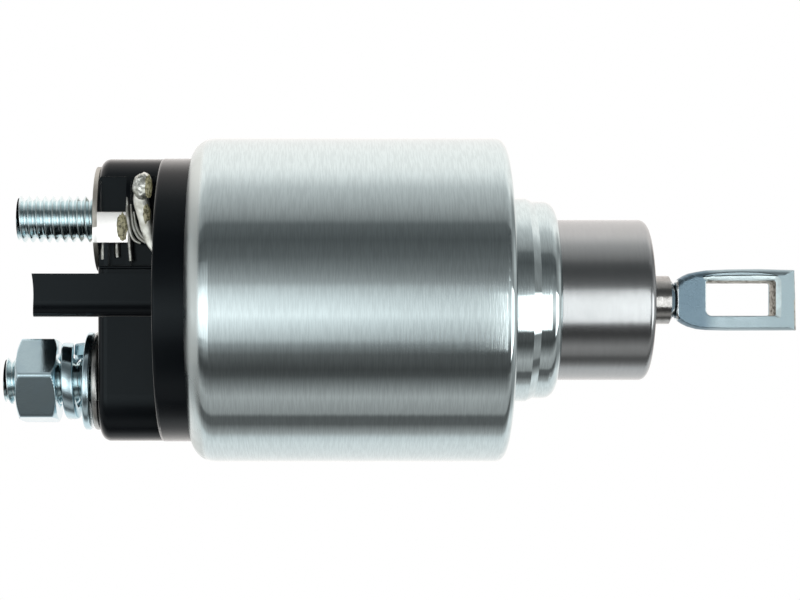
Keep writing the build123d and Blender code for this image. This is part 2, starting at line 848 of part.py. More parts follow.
with BuildPart() as plug_ring:
    revolve(
        ring_section(ring_rear, ring_rear + ring_thickness, ring_outer_r - ring_height, ring_outer_r),
        axis=Axis.X,
        revolution_arc=360 - ring_slot_angle,
    )

with BuildPart() as engaging_spring:
    add(
        coil_spring(
            spring_seat_front, plunger_inner_face, engaging_spring_r, engaging_wire_r, engaging_turns
        )
    )

with BuildPart() as plunger_return_spring:
    add(coil_spring(core_spring_floor, plug_rear, return_spring_r, return_wire_r, return_turns))

with BuildPart() as spring_seat:
    revolve(
        ring_section(
            spring_seat_rear,
            spring_seat_front,
            rod_r + running_gap,
            plunger_bore_r - spring_seat_margin,
        ),
        axis=Axis.X,
    )

# Pull rod, headed at the inner end and bored at the outer end for the eye's shank
with BuildPart() as pull_rod:
    revolve(
        turned_section(
            (rod_head_rear, 0),
            (rod_head_rear, rod_head_r),
            (rod_head_front, rod_head_r),
            (rod_head_front, rod_r),
            (rod_end - rod_tip_length, rod_r),
            (rod_end, rod_tip_r),
            (rod_end, eye_shank_r + seat_gap),
            (rod_end - eye_shank_length - seat_gap, eye_shank_r + seat_gap),
            (rod_end - eye_shank_length - seat_gap, 0),
        ),
        axis=Axis.X,
    )

# Pull eye: a round shank coined to a flat paddle, with a window for the fork lever
with BuildPart() as pull_eye:
    eye_plane = Plane.XZ.rotated((eye_tilt, 0, 0))
    with BuildSketch(eye_plane):
        with BuildLine():
            cheek = FilletPolyline(
                (eye_start, eye_root_half_height),
                (eye_start + eye_cheek_length, eye_cheek_half_height),
                (eye_shoulder_x, eye_half_height),
                (eye_end, eye_half_height),
                radius=eye_cheek_r,
            )
            Line(cheek @ 1, (eye_end, 0))
            Line((eye_start, 0), cheek @ 0)
            mirror(about=Plane.XZ)
        make_face()
    extrude(amount=eye_thickness / 2, both=True)
    across_plate = Axis((0, 0, 0), eye_plane.z_dir)
    plate_faces = pull_eye.faces().sort_by(across_plate)
    rims = plate_faces[0].edges() + plate_faces[-1].edges()
    fillet(rims.sort_by(Axis.X)[4:-4], radius=eye_edge_r)
    with BuildSketch(eye_plane):
        with Locations((eye_window_start + eye_window_length / 2, 0)):
            RectangleRounded(eye_window_length, eye_window_height, eye_window_corner_r)
    extrude(amount=eye_thickness, both=True, mode=Mode.SUBTRACT)
    revolve(
        turned_section(
            (eye_start - eye_shank_length, 0),
            (eye_start - eye_shank_length, eye_shank_r),
            (eye_start, eye_shank_r),
            (eye_start, eye_neck_r),
            (eye_start + eye_neck_length, eye_thickness / 2),
            (eye_start + eye_neck_length, 0),
        ),
        axis=Axis.X,
    )

# Moving contact: a sprung copper bridge carried on an insulated pin
with BuildPart() as contact_pin:
    revolve(
        turned_section(
            (pin_front, 0),
            (pin_front, pin_r),
            (pin_collar_front, pin_r),
            (pin_collar_front, pin_collar_r),
            (pin_collar_rear, pin_collar_r),
            (pin_collar_rear, pin_shank_r),
            (clip_rear - pin_tail, pin_shank_r),
            (clip_rear - pin_tail, 0),
        ),
        axis=Axis.X,
    )

with BuildPart() as insulating_sleeve:
    revolve(
        ring_section(
            rear_washer_rear + seat_gap,
            pin_collar_rear - seat_gap,
            pin_shank_r + seat_gap,
            sleeve_r,
        ),
        axis=Axis.X,
    )

with BuildPart() as insulating_washers:
    revolve(
        ring_section(bridge_front, stop_washer_front, sleeve_r + seat_gap, stop_washer_r),
        axis=Axis.X,
    )
    revolve(
        ring_section(rear_washer_rear, bridge_rear, sleeve_r + seat_gap, rear_washer_r),
        axis=Axis.X,
    )

with BuildPart() as contact_bridge:
    with BuildSketch(Plane.YZ.offset(bridge_rear)):
        RectangleRounded(bridge_width, 2 * bridge_half_length, bridge_corner_r)
        Circle(sleeve_r + seat_gap, mode=Mode.SUBTRACT)
    extrude(amount=bridge_thickness)

with BuildPart() as bridge_clip:
    revolve(
        ring_section(clip_rear, rear_washer_rear, pin_shank_r + seat_gap, clip_r),
        axis=Axis.X,
    )

with BuildPart() as contact_spring:
    add(
        coil_spring(
            stop_washer_front, pin_collar_rear, contact_spring_r, contact_wire_r, contact_turns
        )
    )

with BuildPart() as bridge_return_spring:
    add(
        coil_spring(spring_well_floor, clip_rear, bridge_spring_r, bridge_wire_r, bridge_turns)
    )

pieces = {
    "housing_shell": housing_shell,
    "coil_tube": coil_tube,
    "coil_bobbin": coil_bobbin,
    "pull_in_winding": pull_in_winding,
    "hold_in_winding": hold_in_winding,
    "coil_disc_spring": coil_disc_spring,
    "core_plate": core_plate,
    "core_boss": core_boss,
    "cap_gasket": cap_gasket,
    "terminal_cap": terminal_cap,
    "start_blade": start_blade,
    "terminal_bolt_45": terminal_bolt_45,
    "terminal_bolt_30": terminal_bolt_30,
    "flat_washers": flat_washers,
    "lock_washer": lock_washer,
    "terminal_nut": terminal_nut,
    "motor_strap": motor_strap,
    "pull_in_lead": pull_in_lead,
    "crossover_lead": crossover_lead,
    "start_lead": start_lead,
    "solder_joints": solder_joints,
    "plunger": plunger,
    "plunger_plug": plunger_plug,
    "plug_ring": plug_ring,
    "engaging_spring": engaging_spring,
    "plunger_return_spring": plunger_return_spring,
    "spring_seat": spring_seat,
    "pull_rod": pull_rod,
    "pull_eye": pull_eye,
    "contact_pin": contact_pin,
    "insulating_sleeve": insulating_sleeve,
    "insulating_washers": insulating_washers,
    "contact_bridge": contact_bridge,
    "bridge_clip": bridge_clip,
    "contact_spring": contact_spring,
    "bridge_return_spring": bridge_return_spring,
}

os.makedirs("parts", exist_ok=True)
for name, piece in pieces.items():
    piece.part.label = name
    export_step(piece.part, f"parts/{name}.step")
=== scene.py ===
"""Looks of a round starter solenoid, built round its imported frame.

Sizes in the classes are millimetres in the frame's own axes: X runs out along the plunger, Z is up
through the motor stud, and -Y is the side that the shrouded blade is on.
"""

import json
import logging
import math
from dataclasses import dataclass
from enum import Enum

import bmesh
import bpy
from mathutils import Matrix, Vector, noise


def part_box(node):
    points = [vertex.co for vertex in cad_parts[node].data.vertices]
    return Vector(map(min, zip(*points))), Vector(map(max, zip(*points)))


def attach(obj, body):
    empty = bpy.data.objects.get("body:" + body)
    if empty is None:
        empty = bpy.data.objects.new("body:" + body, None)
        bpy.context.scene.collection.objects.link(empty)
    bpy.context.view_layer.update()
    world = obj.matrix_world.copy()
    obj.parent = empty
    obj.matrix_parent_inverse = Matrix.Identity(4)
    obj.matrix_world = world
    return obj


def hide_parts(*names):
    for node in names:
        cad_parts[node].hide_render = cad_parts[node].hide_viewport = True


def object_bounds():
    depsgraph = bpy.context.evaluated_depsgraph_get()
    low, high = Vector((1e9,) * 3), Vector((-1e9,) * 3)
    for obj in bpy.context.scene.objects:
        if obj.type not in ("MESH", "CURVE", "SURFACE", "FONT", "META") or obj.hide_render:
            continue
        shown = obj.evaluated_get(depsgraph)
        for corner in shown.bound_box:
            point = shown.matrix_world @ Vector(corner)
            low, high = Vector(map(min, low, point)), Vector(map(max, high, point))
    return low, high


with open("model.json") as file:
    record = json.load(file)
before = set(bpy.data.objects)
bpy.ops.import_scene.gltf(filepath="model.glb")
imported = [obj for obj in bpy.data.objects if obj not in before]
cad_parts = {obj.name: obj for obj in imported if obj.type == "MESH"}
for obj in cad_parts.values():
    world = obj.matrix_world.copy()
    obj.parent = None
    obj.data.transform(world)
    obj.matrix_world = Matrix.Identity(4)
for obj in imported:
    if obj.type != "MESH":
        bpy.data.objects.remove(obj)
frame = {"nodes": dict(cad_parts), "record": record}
CAD_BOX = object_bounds()

LOG = logging.getLogger("starter_solenoid")
MM = 0.001
MERGE_DIST = 0.002
SLIVER_DIST = 0.001
PARALLEL = 1e-9
SLACK = 1e-6
WHITE = (1.0, 1.0, 1.0)
Socket = bpy.types.NodeSocket
Material = bpy.types.Material
Colour = tuple[float, float, float]
Point = tuple[float, float, float]
Row = tuple[float, ...]
Pair = tuple[float, float]
Outline = list[Pair]


def node_box(name: str) -> tuple[Vector, Vector]:
    """The lowest and highest corner of a CAD node, in millimetres."""
    low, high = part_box(name)
    return Vector(low) / MM, Vector(high) / MM


def axis_height(name: str) -> float:
    """The height of a round CAD node's own axis, in millimetres."""
    low, high = node_box(name)
    return (low.z + high.z) / 2


def ray(angle: float) -> Pair:
    """The two parts of a direction at an angle in radians."""
    return math.cos(angle), math.sin(angle)


class Graph:
    """Adds and links shader nodes in one node tree."""

    def __init__(self, tree: bpy.types.NodeTree) -> None:
        """Starts on a material's, a world's or a group's tree, emptied."""
        self.tree = tree
        self.tree.nodes.clear()

    def feed(self, socket: Socket, value: object) -> None:
        """Links a socket to another, or sets it to a constant.

        Args:
            socket: The input to set.
            value: An output socket, or a plain value.
        """
        if isinstance(value, Socket):
            self.tree.links.new(value, socket)
        elif isinstance(value, tuple) and len(value) == 3 and len(socket.default_value) == 4:
            socket.default_value = (*value, 1.0)
        else:
            socket.default_value = value

    def add(self, kind: str, inputs: dict | None = None, **settings: object) -> bpy.types.Node:
        """Adds one node.

        Args:
            kind: The node's type name.
            inputs: Values or sockets by input name or index.
            **settings: The node's own properties.

        Returns:
            The new node.
        """
        node = self.tree.nodes.new(kind)
        for key, value in settings.items():
            setattr(node, key, value)
        for key, value in (inputs or {}).items():
            self.feed(node.inputs[key], value)
        return node

    def math(self, operation: str, *values: object) -> Socket:
        """The result of one Math node on numbers or sockets."""
        return self.add("ShaderNodeMath", dict(enumerate(values)), operation=operation).outputs[0]

    def total(self, first: object, *others: object) -> Socket:
        """Numbers or sockets added together.

        Args:
            first: A number or socket.
            *others: The ones to add to it.

        Returns:
            The sum's socket.
        """
        for other in others:
            first = self.math("ADD", first, other)
        return first

    def product(self, first: object, *others: object) -> Socket:
        """Numbers or sockets multiplied together.

        Args:
            first: A number or socket.
            *others: The ones to multiply it by.

        Returns:
            The product's socket.
        """
        for other in others:
            first = self.math("MULTIPLY", first, other)
        return first

    def vector(self, operation: str, inputs: dict) -> Socket:
        """The result of one Vector Math node."""
        return self.add("ShaderNodeVectorMath", inputs, operation=operation).outputs[0]

    def place(self) -> Socket:
        """The spot on the surface, in the object's own axes."""
        return self.add("ShaderNodeTexCoord").outputs["Object"]

    def split(self, vector: Socket) -> list[Socket]:
        """A vector's x, y and z."""
        return list(self.add("ShaderNodeSeparateXYZ", {0: vector}).outputs)

    def effect(self, group: bpy.types.NodeTree, values: dict[str, float]) -> bpy.types.NodeOutputs:
        """The outputs of a shared effect, placed with its own values."""
        return self.add("ShaderNodeGroup", values, node_tree=group).outputs

    def seen(self) -> Socket:
        """1 where the camera looks straight at the surface, else 0."""
        return self.add("ShaderNodeLightPath").outputs["Is Camera Ray"]

    def cloud(self, vector: Socket, scale: object, detail: float, roughness: float = 0.5) -> Socket:
        """The value of a noise texture, with its finer layers and how strong they are."""
        inputs = {"Vector": vector, "Scale": scale, "Detail": detail, "Roughness": roughness}
        return self.add("ShaderNodeTexNoise", inputs).outputs["Fac"]

    def bump(self, depth: object, height: Socket) -> Socket:
        """The surface's normal, tilted by a height of up to a tenth of a millimetre."""
        inputs = {"Strength": depth, "Distance": 0.1 * MM, "Height": height}
        return self.add("ShaderNodeBump", inputs).outputs["Normal"]

    def fit(self, value: object, low: object, high: object, to_low: object, to_high: object) -> Socket:
        """A value moved from one range to another, smoothly and held at the ends.

        Args:
            value: The socket to read.
            low: Start of the range read.
            high: End of the range read.
            to_low: Result at the start.
            to_high: Result at the end.

        Returns:
            The result socket.
        """
        node = self.add(
            "ShaderNodeMapRange",
            {"Value": value, "From Min": low, "From Max": high, "To Min": to_low, "To Max": to_high},
            interpolation_type="SMOOTHSTEP",
        )
        return node.outputs["Result"]

    def blend(self, factor: object, first: object, second: object) -> Socket:
        """Two colours mixed by a factor.

        Args:
            factor: 0 for the first colour, 1 for the second.
            first: A colour or socket.
            second: A colour or socket.

        Returns:
            The mixed colour's socket.
        """
        node = self.add("ShaderNodeMix", data_type="RGBA")
        for index, value in ((0, factor), (6, first), (7, second)):
            self.feed(node.inputs[index], value)
        return node.outputs[2]

    def ramp(self, factor: object, stops: list[tuple[float, Colour]]) -> Socket:
        """A colour ramp.

        Args:
            factor: The position read.
            stops: Places from 0 to 1, each with its colour.

        Returns:
            The colour's socket.
        """
        node = self.add("ShaderNodeValToRGB", {"Fac": factor})
        elements = node.color_ramp.elements
        while len(elements) < len(stops):
            elements.new(0.5)
        for element, (place, colour) in zip(elements, stops):
            element.position = place
            element.color = (*colour, 1.0)
        return node.outputs["Color"]


def new_material(name: str) -> tuple[Material, Graph]:
    """An empty material and the graph for its nodes.

    Args:
        name: The material's name.

    Returns:
        The material and its graph.
    """
    material = bpy.data.materials.new(name)
    material.use_nodes = True
    return material, Graph(material.node_tree)


class SharedEffects:
    """Shader node groups that several finishes use, each built once."""

    def __init__(self) -> None:
        """Builds the groups."""
        self.turned_marks = self._turned_marks()
        self.blotches = self._blotches()
        self.grain = self._grain()

    @staticmethod
    def _new(
        name: str, inputs: dict[str, float], outputs: dict[str, str]
    ) -> tuple[Graph, bpy.types.NodeOutputs, bpy.types.NodeInputs]:
        """An empty group with its sockets.

        Args:
            name: The group's name.
            inputs: Float inputs and their defaults.
            outputs: Output names and their socket types.

        Returns:
            The graph, the sockets that bring its inputs, and the sockets that take its outputs.
        """
        tree = bpy.data.node_groups.new(name, "ShaderNodeTree")
        for key, default in inputs.items():
            socket = tree.interface.new_socket(key, in_out="INPUT", socket_type="NodeSocketFloat")
            socket.default_value = default
        for key, kind in outputs.items():
            tree.interface.new_socket(key, in_out="OUTPUT", socket_type=kind)
        graph = Graph(tree)
        return graph, graph.add("NodeGroupInput").outputs, graph.add("NodeGroupOutput").inputs

    def _turned_marks(self) -> bpy.types.NodeTree:
        """Fine rings about the X axis, as a lathe or a rotating brush leaves them.

        Returns:
            The group.
        """
        graph, given, out = self._new(
            "turned_marks",
            {"Fineness": 9000.0, "Arc": 3.0, "Depth": 0.1, "Sway": 0.05},
            {"Mark": "NodeSocketFloat", "Normal": "NodeSocketVector"},
        )
        x, y, z = graph.split(graph.place())
        radius = graph.math("SQRT", graph.total(graph.product(y, y), graph.product(z, z)))
        radius = graph.math("MAXIMUM", radius, 0.1 * MM)
        rings = {0: graph.product(graph.total(x, radius), given["Fineness"])}
        for axis, across in ((1, y), (2, z)):
            rings[axis] = graph.product(graph.math("DIVIDE", across, radius), given["Arc"])
        rings = graph.add("ShaderNodeCombineXYZ", rings).outputs[0]
        fine = graph.cloud(rings, 1.0, 2.0)
        slow = graph.cloud(rings, 0.37, 1.0)
        bump = graph.bump(given["Depth"], fine)
        axis = graph.add("ShaderNodeCombineXYZ", {0: 1.0}).outputs[0]
        tangent = graph.vector("CROSS_PRODUCT", {0: axis, 1: bump})
        lean = graph.product(graph.math("SUBTRACT", slow, 0.5), given["Sway"])
        swayed = graph.vector("SCALE", {0: tangent, "Scale": lean})
        graph.feed(out["Mark"], fine)
        graph.feed(out["Normal"], graph.vector("NORMALIZE", {0: graph.vector("ADD", {0: bump, 1: swayed})}))
        return graph.tree

    def _blotches(self) -> bpy.types.NodeTree:
        """Soft patches of uneven plating, oil or handling.

        Returns:
            The group.
        """
        graph, given, out = self._new(
            "blotches", {"Scale": 150.0, "Low": 0.4, "High": 0.65}, {"Mask": "NodeSocketFloat"}
        )
        cloud = graph.cloud(graph.place(), given["Scale"], 4.0, 0.6)
        graph.feed(out["Mask"], graph.fit(cloud, given["Low"], given["High"], 0.0, 1.0))
        return graph.tree

    def _grain(self) -> bpy.types.NodeTree:
        """Small even grain with no direction.

        Returns:
            The group.
        """
        graph, given, out = self._new(
            "grain",
            {"Scale": 3000.0, "Depth": 0.1},
            {"Grain": "NodeSocketFloat", "Normal": "NodeSocketVector"},
        )
        grain = graph.cloud(graph.place(), given["Scale"], 3.0)
        graph.feed(out["Grain"], grain)
        graph.feed(out["Normal"], graph.bump(given["Depth"], grain))
        return graph.tree


@dataclass(frozen=True)
class Band:
    """A stretch of the metal along X with its own colour and roughness: a real change of finish on some
    parts, painted shade and highlight on the pull eye and its rims.
    """

    start: float
    end: float
    fade: float
    colour: Colour
    roughness: float
    strength: float = 1.0
    speckle: float = 0.45

    def mask(self, graph: Graph, along: Socket, patches: Socket) -> Socket:
        """How much of the band shows.

        Args:
            graph: The material's graph.
            along: The spot's X, in metres.
            patches: The mask of the metal's patches.

        Returns:
            The mask's socket.
        """
        rise = graph.fit(along, (self.start - self.fade) * MM, self.start * MM, 0.0, 1.0)
        fall = graph.fit(along, self.end * MM, (self.end + self.fade) * MM, 1.0, 0.0)
        speckle = graph.fit(patches, 0.0, 1.0, self.strength, self.strength * self.speckle)
        return graph.product(rise, fall, speckle)


@dataclass(frozen=True)
class MetalFinish:
    """A metal surface: its colour, its patches, and the marks its making left."""

    name: str
    colour: Colour
    patch_colour: Colour
    roughness: float
    patch_roughness: float
    patch_scale: float = 150.0
    patch_amount: float = 0.6
    turned: bool = False
    fineness: float = 9000.0
    arc: float = 3.0
    depth: float = 0.1
    sway: float = 0.05
    mark_contrast: float = 0.1
    mark_span: Pair = (0.35, 0.65)
    bands: tuple[Band, ...] = ()

    def build(self, effects: SharedEffects) -> Material:
        """Makes the material.

        Args:
            effects: The shared node groups.

        Returns:
            The finished material.
        """
        material, graph = new_material(self.name)
        if self.turned:
            values = {"Fineness": self.fineness, "Arc": self.arc, "Depth": self.depth, "Sway": self.sway}
            marks = graph.effect(effects.turned_marks, values)
        else:
            marks = graph.effect(effects.grain, {"Scale": self.fineness, "Depth": self.depth})
        patches = graph.effect(effects.blotches, {"Scale": self.patch_scale})[0]
        amount = graph.product(patches, self.patch_amount)
        colour = graph.blend(amount, self.colour, self.patch_colour)
        dark = tuple(c * (1.0 - self.mark_contrast) for c in self.colour)
        marked = graph.blend(0.5, colour, dark)
        colour = graph.blend(graph.fit(marks[0], *self.mark_span, 1.0, 0.0), colour, marked)
        roughness = graph.fit(amount, 0.0, 1.0, self.roughness, self.patch_roughness)
        along = graph.split(graph.place())[0]
        for band in self.bands:
            mask = band.mask(graph, along, patches)
            colour = graph.blend(mask, colour, band.colour)
            change = graph.product(mask, graph.math("SUBTRACT", band.roughness, roughness))
            roughness = graph.total(roughness, change)
        surface = graph.add(
            "ShaderNodeBsdfPrincipled",
            {"Base Color": colour, "Metallic": 1.0, "Roughness": roughness, "Normal": marks["Normal"]},
        )
        graph.add("ShaderNodeOutputMaterial", {"Surface": surface.outputs["BSDF"]})
        return material


@dataclass(frozen=True)
class CoatedFinish:
    """A surface that isn't bare metal: moulding, rubber, enamel, fibre or flux."""

    name: str
    colour: Colour
    patch_colour: Colour
    roughness: float
    patch_roughness: float
    patch_scale: float = 120.0
    grain_scale: float = 2500.0
    depth: float = 0.05
    ior: float = 1.5
    coat: float = 0.0
    tint: Colour = WHITE
    painted_sheen_colour: Colour | None = None
    painted_sheen_span: Pair = (0.55, 0.95)

    def build(self, effects: SharedEffects) -> Material:
        """Makes the material.

        Args:
            effects: The shared node groups.

        Returns:
            The finished material.
        """
        material, graph = new_material(self.name)
        mask = graph.effect(effects.blotches, {"Scale": self.patch_scale})[0]
        grain = graph.effect(effects.grain, {"Scale": self.grain_scale, "Depth": self.depth})
        colour = graph.blend(mask, self.colour, self.patch_colour)
        # Painted sheen: the colour turns pale where the surface is seen at a grazing angle.
        if self.painted_sheen_colour is not None:
            facing = graph.add("ShaderNodeLayerWeight", {"Blend": 0.5}).outputs["Facing"]
            colour = graph.blend(graph.fit(facing, *self.painted_sheen_span, 0.0, 1.0), colour, self.painted_sheen_colour)
        roughness = graph.fit(mask, 0.0, 1.0, self.roughness, self.patch_roughness)
        surface = graph.add(
            "ShaderNodeBsdfPrincipled",
            {
                "Base Color": colour,
                "Roughness": roughness,
                "IOR": self.ior,
                "Specular Tint": self.tint,
                "Coat Weight": self.coat,
                "Normal": grain["Normal"],
            },
        )
        graph.add("ShaderNodeOutputMaterial", {"Surface": surface.outputs["BSDF"]})
        return material


class Finish(Enum):
    """Every finish on the part, by the name of its slot in the record."""

    ZINC_SHELL = MetalFinish(
        "zinc_shell", (0.56, 0.645, 0.655), (0.545, 0.63, 0.64), 0.06, 0.085, patch_scale=70.0,
        turned=True, fineness=4600.0, arc=9.0, depth=0.012, sway=0.01, mark_contrast=0.22,
        bands=(Band(-60.0, -49.3, 0.7, (0.57, 0.62, 0.61), 0.4),),
    )
    BRASS_TUBE = MetalFinish("brass_tube", (0.78, 0.62, 0.32), (0.62, 0.46, 0.22), 0.25, 0.4, turned=True)
    BOBBIN_PLASTIC = CoatedFinish("bobbin_plastic", (0.80, 0.76, 0.66), (0.74, 0.69, 0.58), 0.5, 0.6)
    ENAMELLED_COPPER = CoatedFinish(
        "enamelled_copper", (0.42, 0.13, 0.05), (0.34, 0.09, 0.03), 0.25, 0.35, grain_scale=900.0,
        depth=0.6, coat=0.5,
    )
    SPRING_STEEL = MetalFinish("spring_steel", (0.42, 0.43, 0.44), (0.26, 0.25, 0.24), 0.3, 0.5)
    CORE_STEEL = MetalFinish(
        "core_steel", (0.56, 0.57, 0.57), (0.46, 0.45, 0.43), 0.28, 0.4, turned=True, mark_contrast=0.2
    )
    GASKET_RUBBER = CoatedFinish(
        "gasket_rubber", (0.02, 0.02, 0.02), (0.03, 0.03, 0.03), 0.6, 0.75, depth=0.2
    )
    # The pale colour that this finish takes at grazing angles is a painted sheen.
    CAP_PLASTIC = CoatedFinish(
        "cap_plastic", (0.0042, 0.0053, 0.0066), (0.005, 0.0062, 0.0076), 0.13, 0.2, patch_scale=60.0,
        grain_scale=700.0, depth=0.03, ior=1.22, tint=(0.8, 0.95, 1.0), painted_sheen_colour=(0.30, 0.30, 0.29),
    )
    TINNED_BLADE = MetalFinish("tinned_blade", (0.80, 0.79, 0.74), (0.70, 0.66, 0.55), 0.25, 0.4)
    ZINC_HARDWARE = MetalFinish(
        "zinc_hardware", (0.54, 0.69, 0.74), (0.45, 0.60, 0.67), 0.13, 0.2, patch_scale=260.0,
        fineness=5000.0, depth=0.1,
    )
    # The same zinc plating as the hardware, painted lighter so that the thread's highlight is brighter.
    ZINC_STUD_PAINTED_LIGHTER = MetalFinish(
        "zinc_stud", (0.66, 0.77, 0.79), (0.56, 0.68, 0.71), 0.13, 0.2, patch_scale=260.0,
        fineness=5000.0, depth=0.1,
    )
    DULL_WASHER = MetalFinish(
        "dull_washer", (0.42, 0.43, 0.42), (0.30, 0.29, 0.26), 0.26, 0.36, patch_scale=400.0, depth=0.15
    )
    TINNED_STRAP = MetalFinish(
        "tinned_strap", (0.92, 0.92, 0.90), (0.84, 0.83, 0.80), 0.3, 0.42, patch_scale=220.0, depth=0.12
    )
    STRAP_EDGE = MetalFinish(
        "strap_edge", (0.48, 0.47, 0.43), (0.34, 0.32, 0.28), 0.5, 0.6, patch_scale=500.0, depth=0.3
    )
    TINNED_LEAD = MetalFinish(
        "tinned_lead", (0.66, 0.67, 0.62), (0.36, 0.36, 0.29), 0.38, 0.52, patch_scale=650.0, depth=0.3
    )
    DULL_LEAD = MetalFinish(
        "dull_lead", (0.46, 0.47, 0.44), (0.26, 0.26, 0.21), 0.4, 0.55, patch_scale=900.0, depth=0.3
    )
    SOLDER = MetalFinish(
        "solder", (0.66, 0.68, 0.64), (0.30, 0.31, 0.25), 0.26, 0.4, patch_scale=900.0, patch_amount=0.9,
        fineness=2600.0, depth=0.6,
    )
    TURNED_STEEL = MetalFinish(
        "turned_steel", (0.355, 0.37, 0.375), (0.34, 0.355, 0.355), 0.19, 0.22, patch_scale=90.0,
        turned=True, fineness=6000.0, arc=4.0, depth=0.03, sway=0.02, mark_contrast=0.08,
        bands=(Band(23.25, 23.6, 0.12, (0.26, 0.18, 0.14), 0.35, 0.6),),
    )
    ROD_STEEL = MetalFinish(
        "rod_steel", (0.36, 0.36, 0.35), (0.27, 0.265, 0.25), 0.14, 0.24, patch_scale=900.0,
        turned=True, fineness=4500.0, arc=9.0, depth=0.12, sway=0.08, mark_contrast=0.2,
    )
    ZINC_EYE = MetalFinish(
        "zinc_eye", (0.38, 0.475, 0.51), (0.35, 0.45, 0.485), 0.36, 0.44, patch_scale=300.0,
        fineness=4200.0, depth=0.3, mark_contrast=0.1,
        bands=(
            # Painted shade: the eye's left part is coloured darker.
            Band(20.0, 32.4, 3.6, (0.162, 0.235, 0.285), 0.38, speckle=0.96),
            # Painted shade: the eye's right end is coloured darker.
            Band(45.0, 60.0, 4.0, (0.33, 0.42, 0.45), 0.4, speckle=0.96),
            # Painted highlight: a thin pale line along the eye's rounded left edge.
            Band(28.62, 28.84, 0.1, (0.80, 0.88, 0.90), 0.25, speckle=0.9),
            # Painted shade: a dark stripe on the eye's left bevel.
            Band(20.0, 28.4, 0.08, (0.18, 0.27, 0.31), 0.3, 0.9, 0.9),
        ),
    )
    ROLLED_RIM = MetalFinish(
        "rolled_rim", (0.62, 0.73, 0.74), (0.56, 0.67, 0.69), 0.34, 0.42, patch_scale=300.0,
        fineness=4200.0, depth=0.3, mark_contrast=0.1,
        # Painted shade: the rims at the eye's right end are coloured darker.
        bands=(Band(45.0, 60.0, 0.3, (0.40, 0.475, 0.485), 0.4),),
    )
    SHEARED_STEEL = MetalFinish(
        "sheared_steel", (0.46, 0.45, 0.40), (0.12, 0.105, 0.085), 0.45, 0.6, patch_scale=1300.0,
        patch_amount=0.9, fineness=2600.0, depth=0.8,
    )
    FIBRE_WASHER = CoatedFinish("fibre_washer", (0.30, 0.09, 0.05), (0.24, 0.07, 0.04), 0.55, 0.7, depth=0.3)
    CONTACT_COPPER = MetalFinish("contact_copper", (0.80, 0.42, 0.28), (0.58, 0.28, 0.18), 0.25, 0.45)
    FLUX = CoatedFinish(
        "flux", (0.40, 0.38, 0.22), (0.085, 0.08, 0.03), 0.3, 0.5, patch_scale=1900.0, grain_scale=1700.0,
        depth=0.9, coat=0.3,
    )


class Finishes:
    """Builds each finish when it is first asked for."""

    def __init__(self) -> None:
        """Builds the shared effects."""
        self.effects = SharedEffects()
        self.made: dict[Finish, Material] = {}

    def get(self, finish: Finish) -> Material:
        """The material of a finish.

        Args:
            finish: The finish wanted.

        Returns:
            Its material.
        """
        if finish not in self.made:
            self.made[finish] = finish.value.build(self.effects)
        return self.made[finish]

    def dress_node(self, name: str, finish: Finish) -> None:
        """Gives a CAD node its finish.

        Args:
            name: The node's name.
            finish: Its finish.
        """
        for slot in frame["nodes"][name].material_slots:
            slot.material = self.get(finish)
        LOG.info("node %s has finish %s", name, finish.value.name)


@dataclass
class Mesh:
    """Vertices in millimetres and faces, gathered before they become a piece."""

    vertices: list[Point]
    faces: list[tuple[int, ...]]

    def add(self, other: "Mesh") -> None:
        """Takes in another mesh.

        Args:
            other: The mesh to add.
        """
        start = len(self.vertices)
        self.vertices.extend(other.vertices)
        self.faces.extend(tuple(i + start for i in face) for face in other.faces)

    def to_piece(
        self, name: str, material: Material, body: str, slot: str, replaces: tuple[str, ...] = (),
        crease: float = 32.0, extra: tuple[Material, ...] = (), marks: list[int] | None = None,
    ) -> None:
        """Makes the mesh into a piece that rides on a body.

        Args:
            name: The piece's name.
            material: Its material.
            body: The body that carries it.
            slot: The record's material slot; not used.
            replaces: CAD nodes that it stands for.
            crease: Edges sharper than this many degrees stay sharp.
            extra: Further materials, for the faces that a mark sends to them.
            marks: For each face, 0 for the first material, 1 for the next, and so on.
        """
        data = bpy.data.meshes.new(name)
        data.from_pydata([tuple(c * MM for c in v) for v in self.vertices], [], self.faces)
        shape = bmesh.new()
        shape.from_mesh(data)
        for face, mark in zip(shape.faces, marks or ()):
            face.material_index = mark
        bmesh.ops.remove_doubles(shape, verts=shape.verts, dist=MERGE_DIST * MM)
        bmesh.ops.dissolve_degenerate(shape, edges=shape.edges, dist=SLIVER_DIST * MM)
        bmesh.ops.recalc_face_normals(shape, faces=shape.faces)
        for face in shape.faces:
            face.smooth = True
        for edge in shape.edges:
            edge.smooth = len(edge.link_faces) != 2 or edge.calc_face_angle(0.0) < math.radians(crease)
        shape.to_mesh(data)
        shape.free()
        for used in (material, *extra):
            data.materials.append(used)
        piece = bpy.data.objects.new(name, data)
        bpy.context.scene.collection.objects.link(piece)
        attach(piece, body)
        if replaces:
            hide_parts(*replaces)
        LOG.info("piece %s: %d faces", name, len(data.polygons))


def sweep(sections: list[list[Point]], closed_path: bool = False) -> Mesh:
    """Skins a row of matching sections.

    Args:
        sections: Loops of points, each with as many points.
        closed_path: Whether the last section joins the first. If not, a face closes each end.

    Returns:
        The skinned mesh.
    """
    count = len(sections[0])
    vertices = [point for section in sections for point in section]
    faces: list[tuple[int, ...]] = []
    rows = len(sections) if closed_path else len(sections) - 1
    for row in range(rows):
        here, there = row * count, (row + 1) % len(sections) * count
        for i in range(count):
            j = (i + 1) % count
            faces.append((here + i, here + j, there + j, there + i))
    if not closed_path:
        last = (len(sections) - 1) * count
        faces.append(tuple(reversed(range(count))))
        faces.append(tuple(range(last, last + count)))
    return Mesh(vertices, faces)


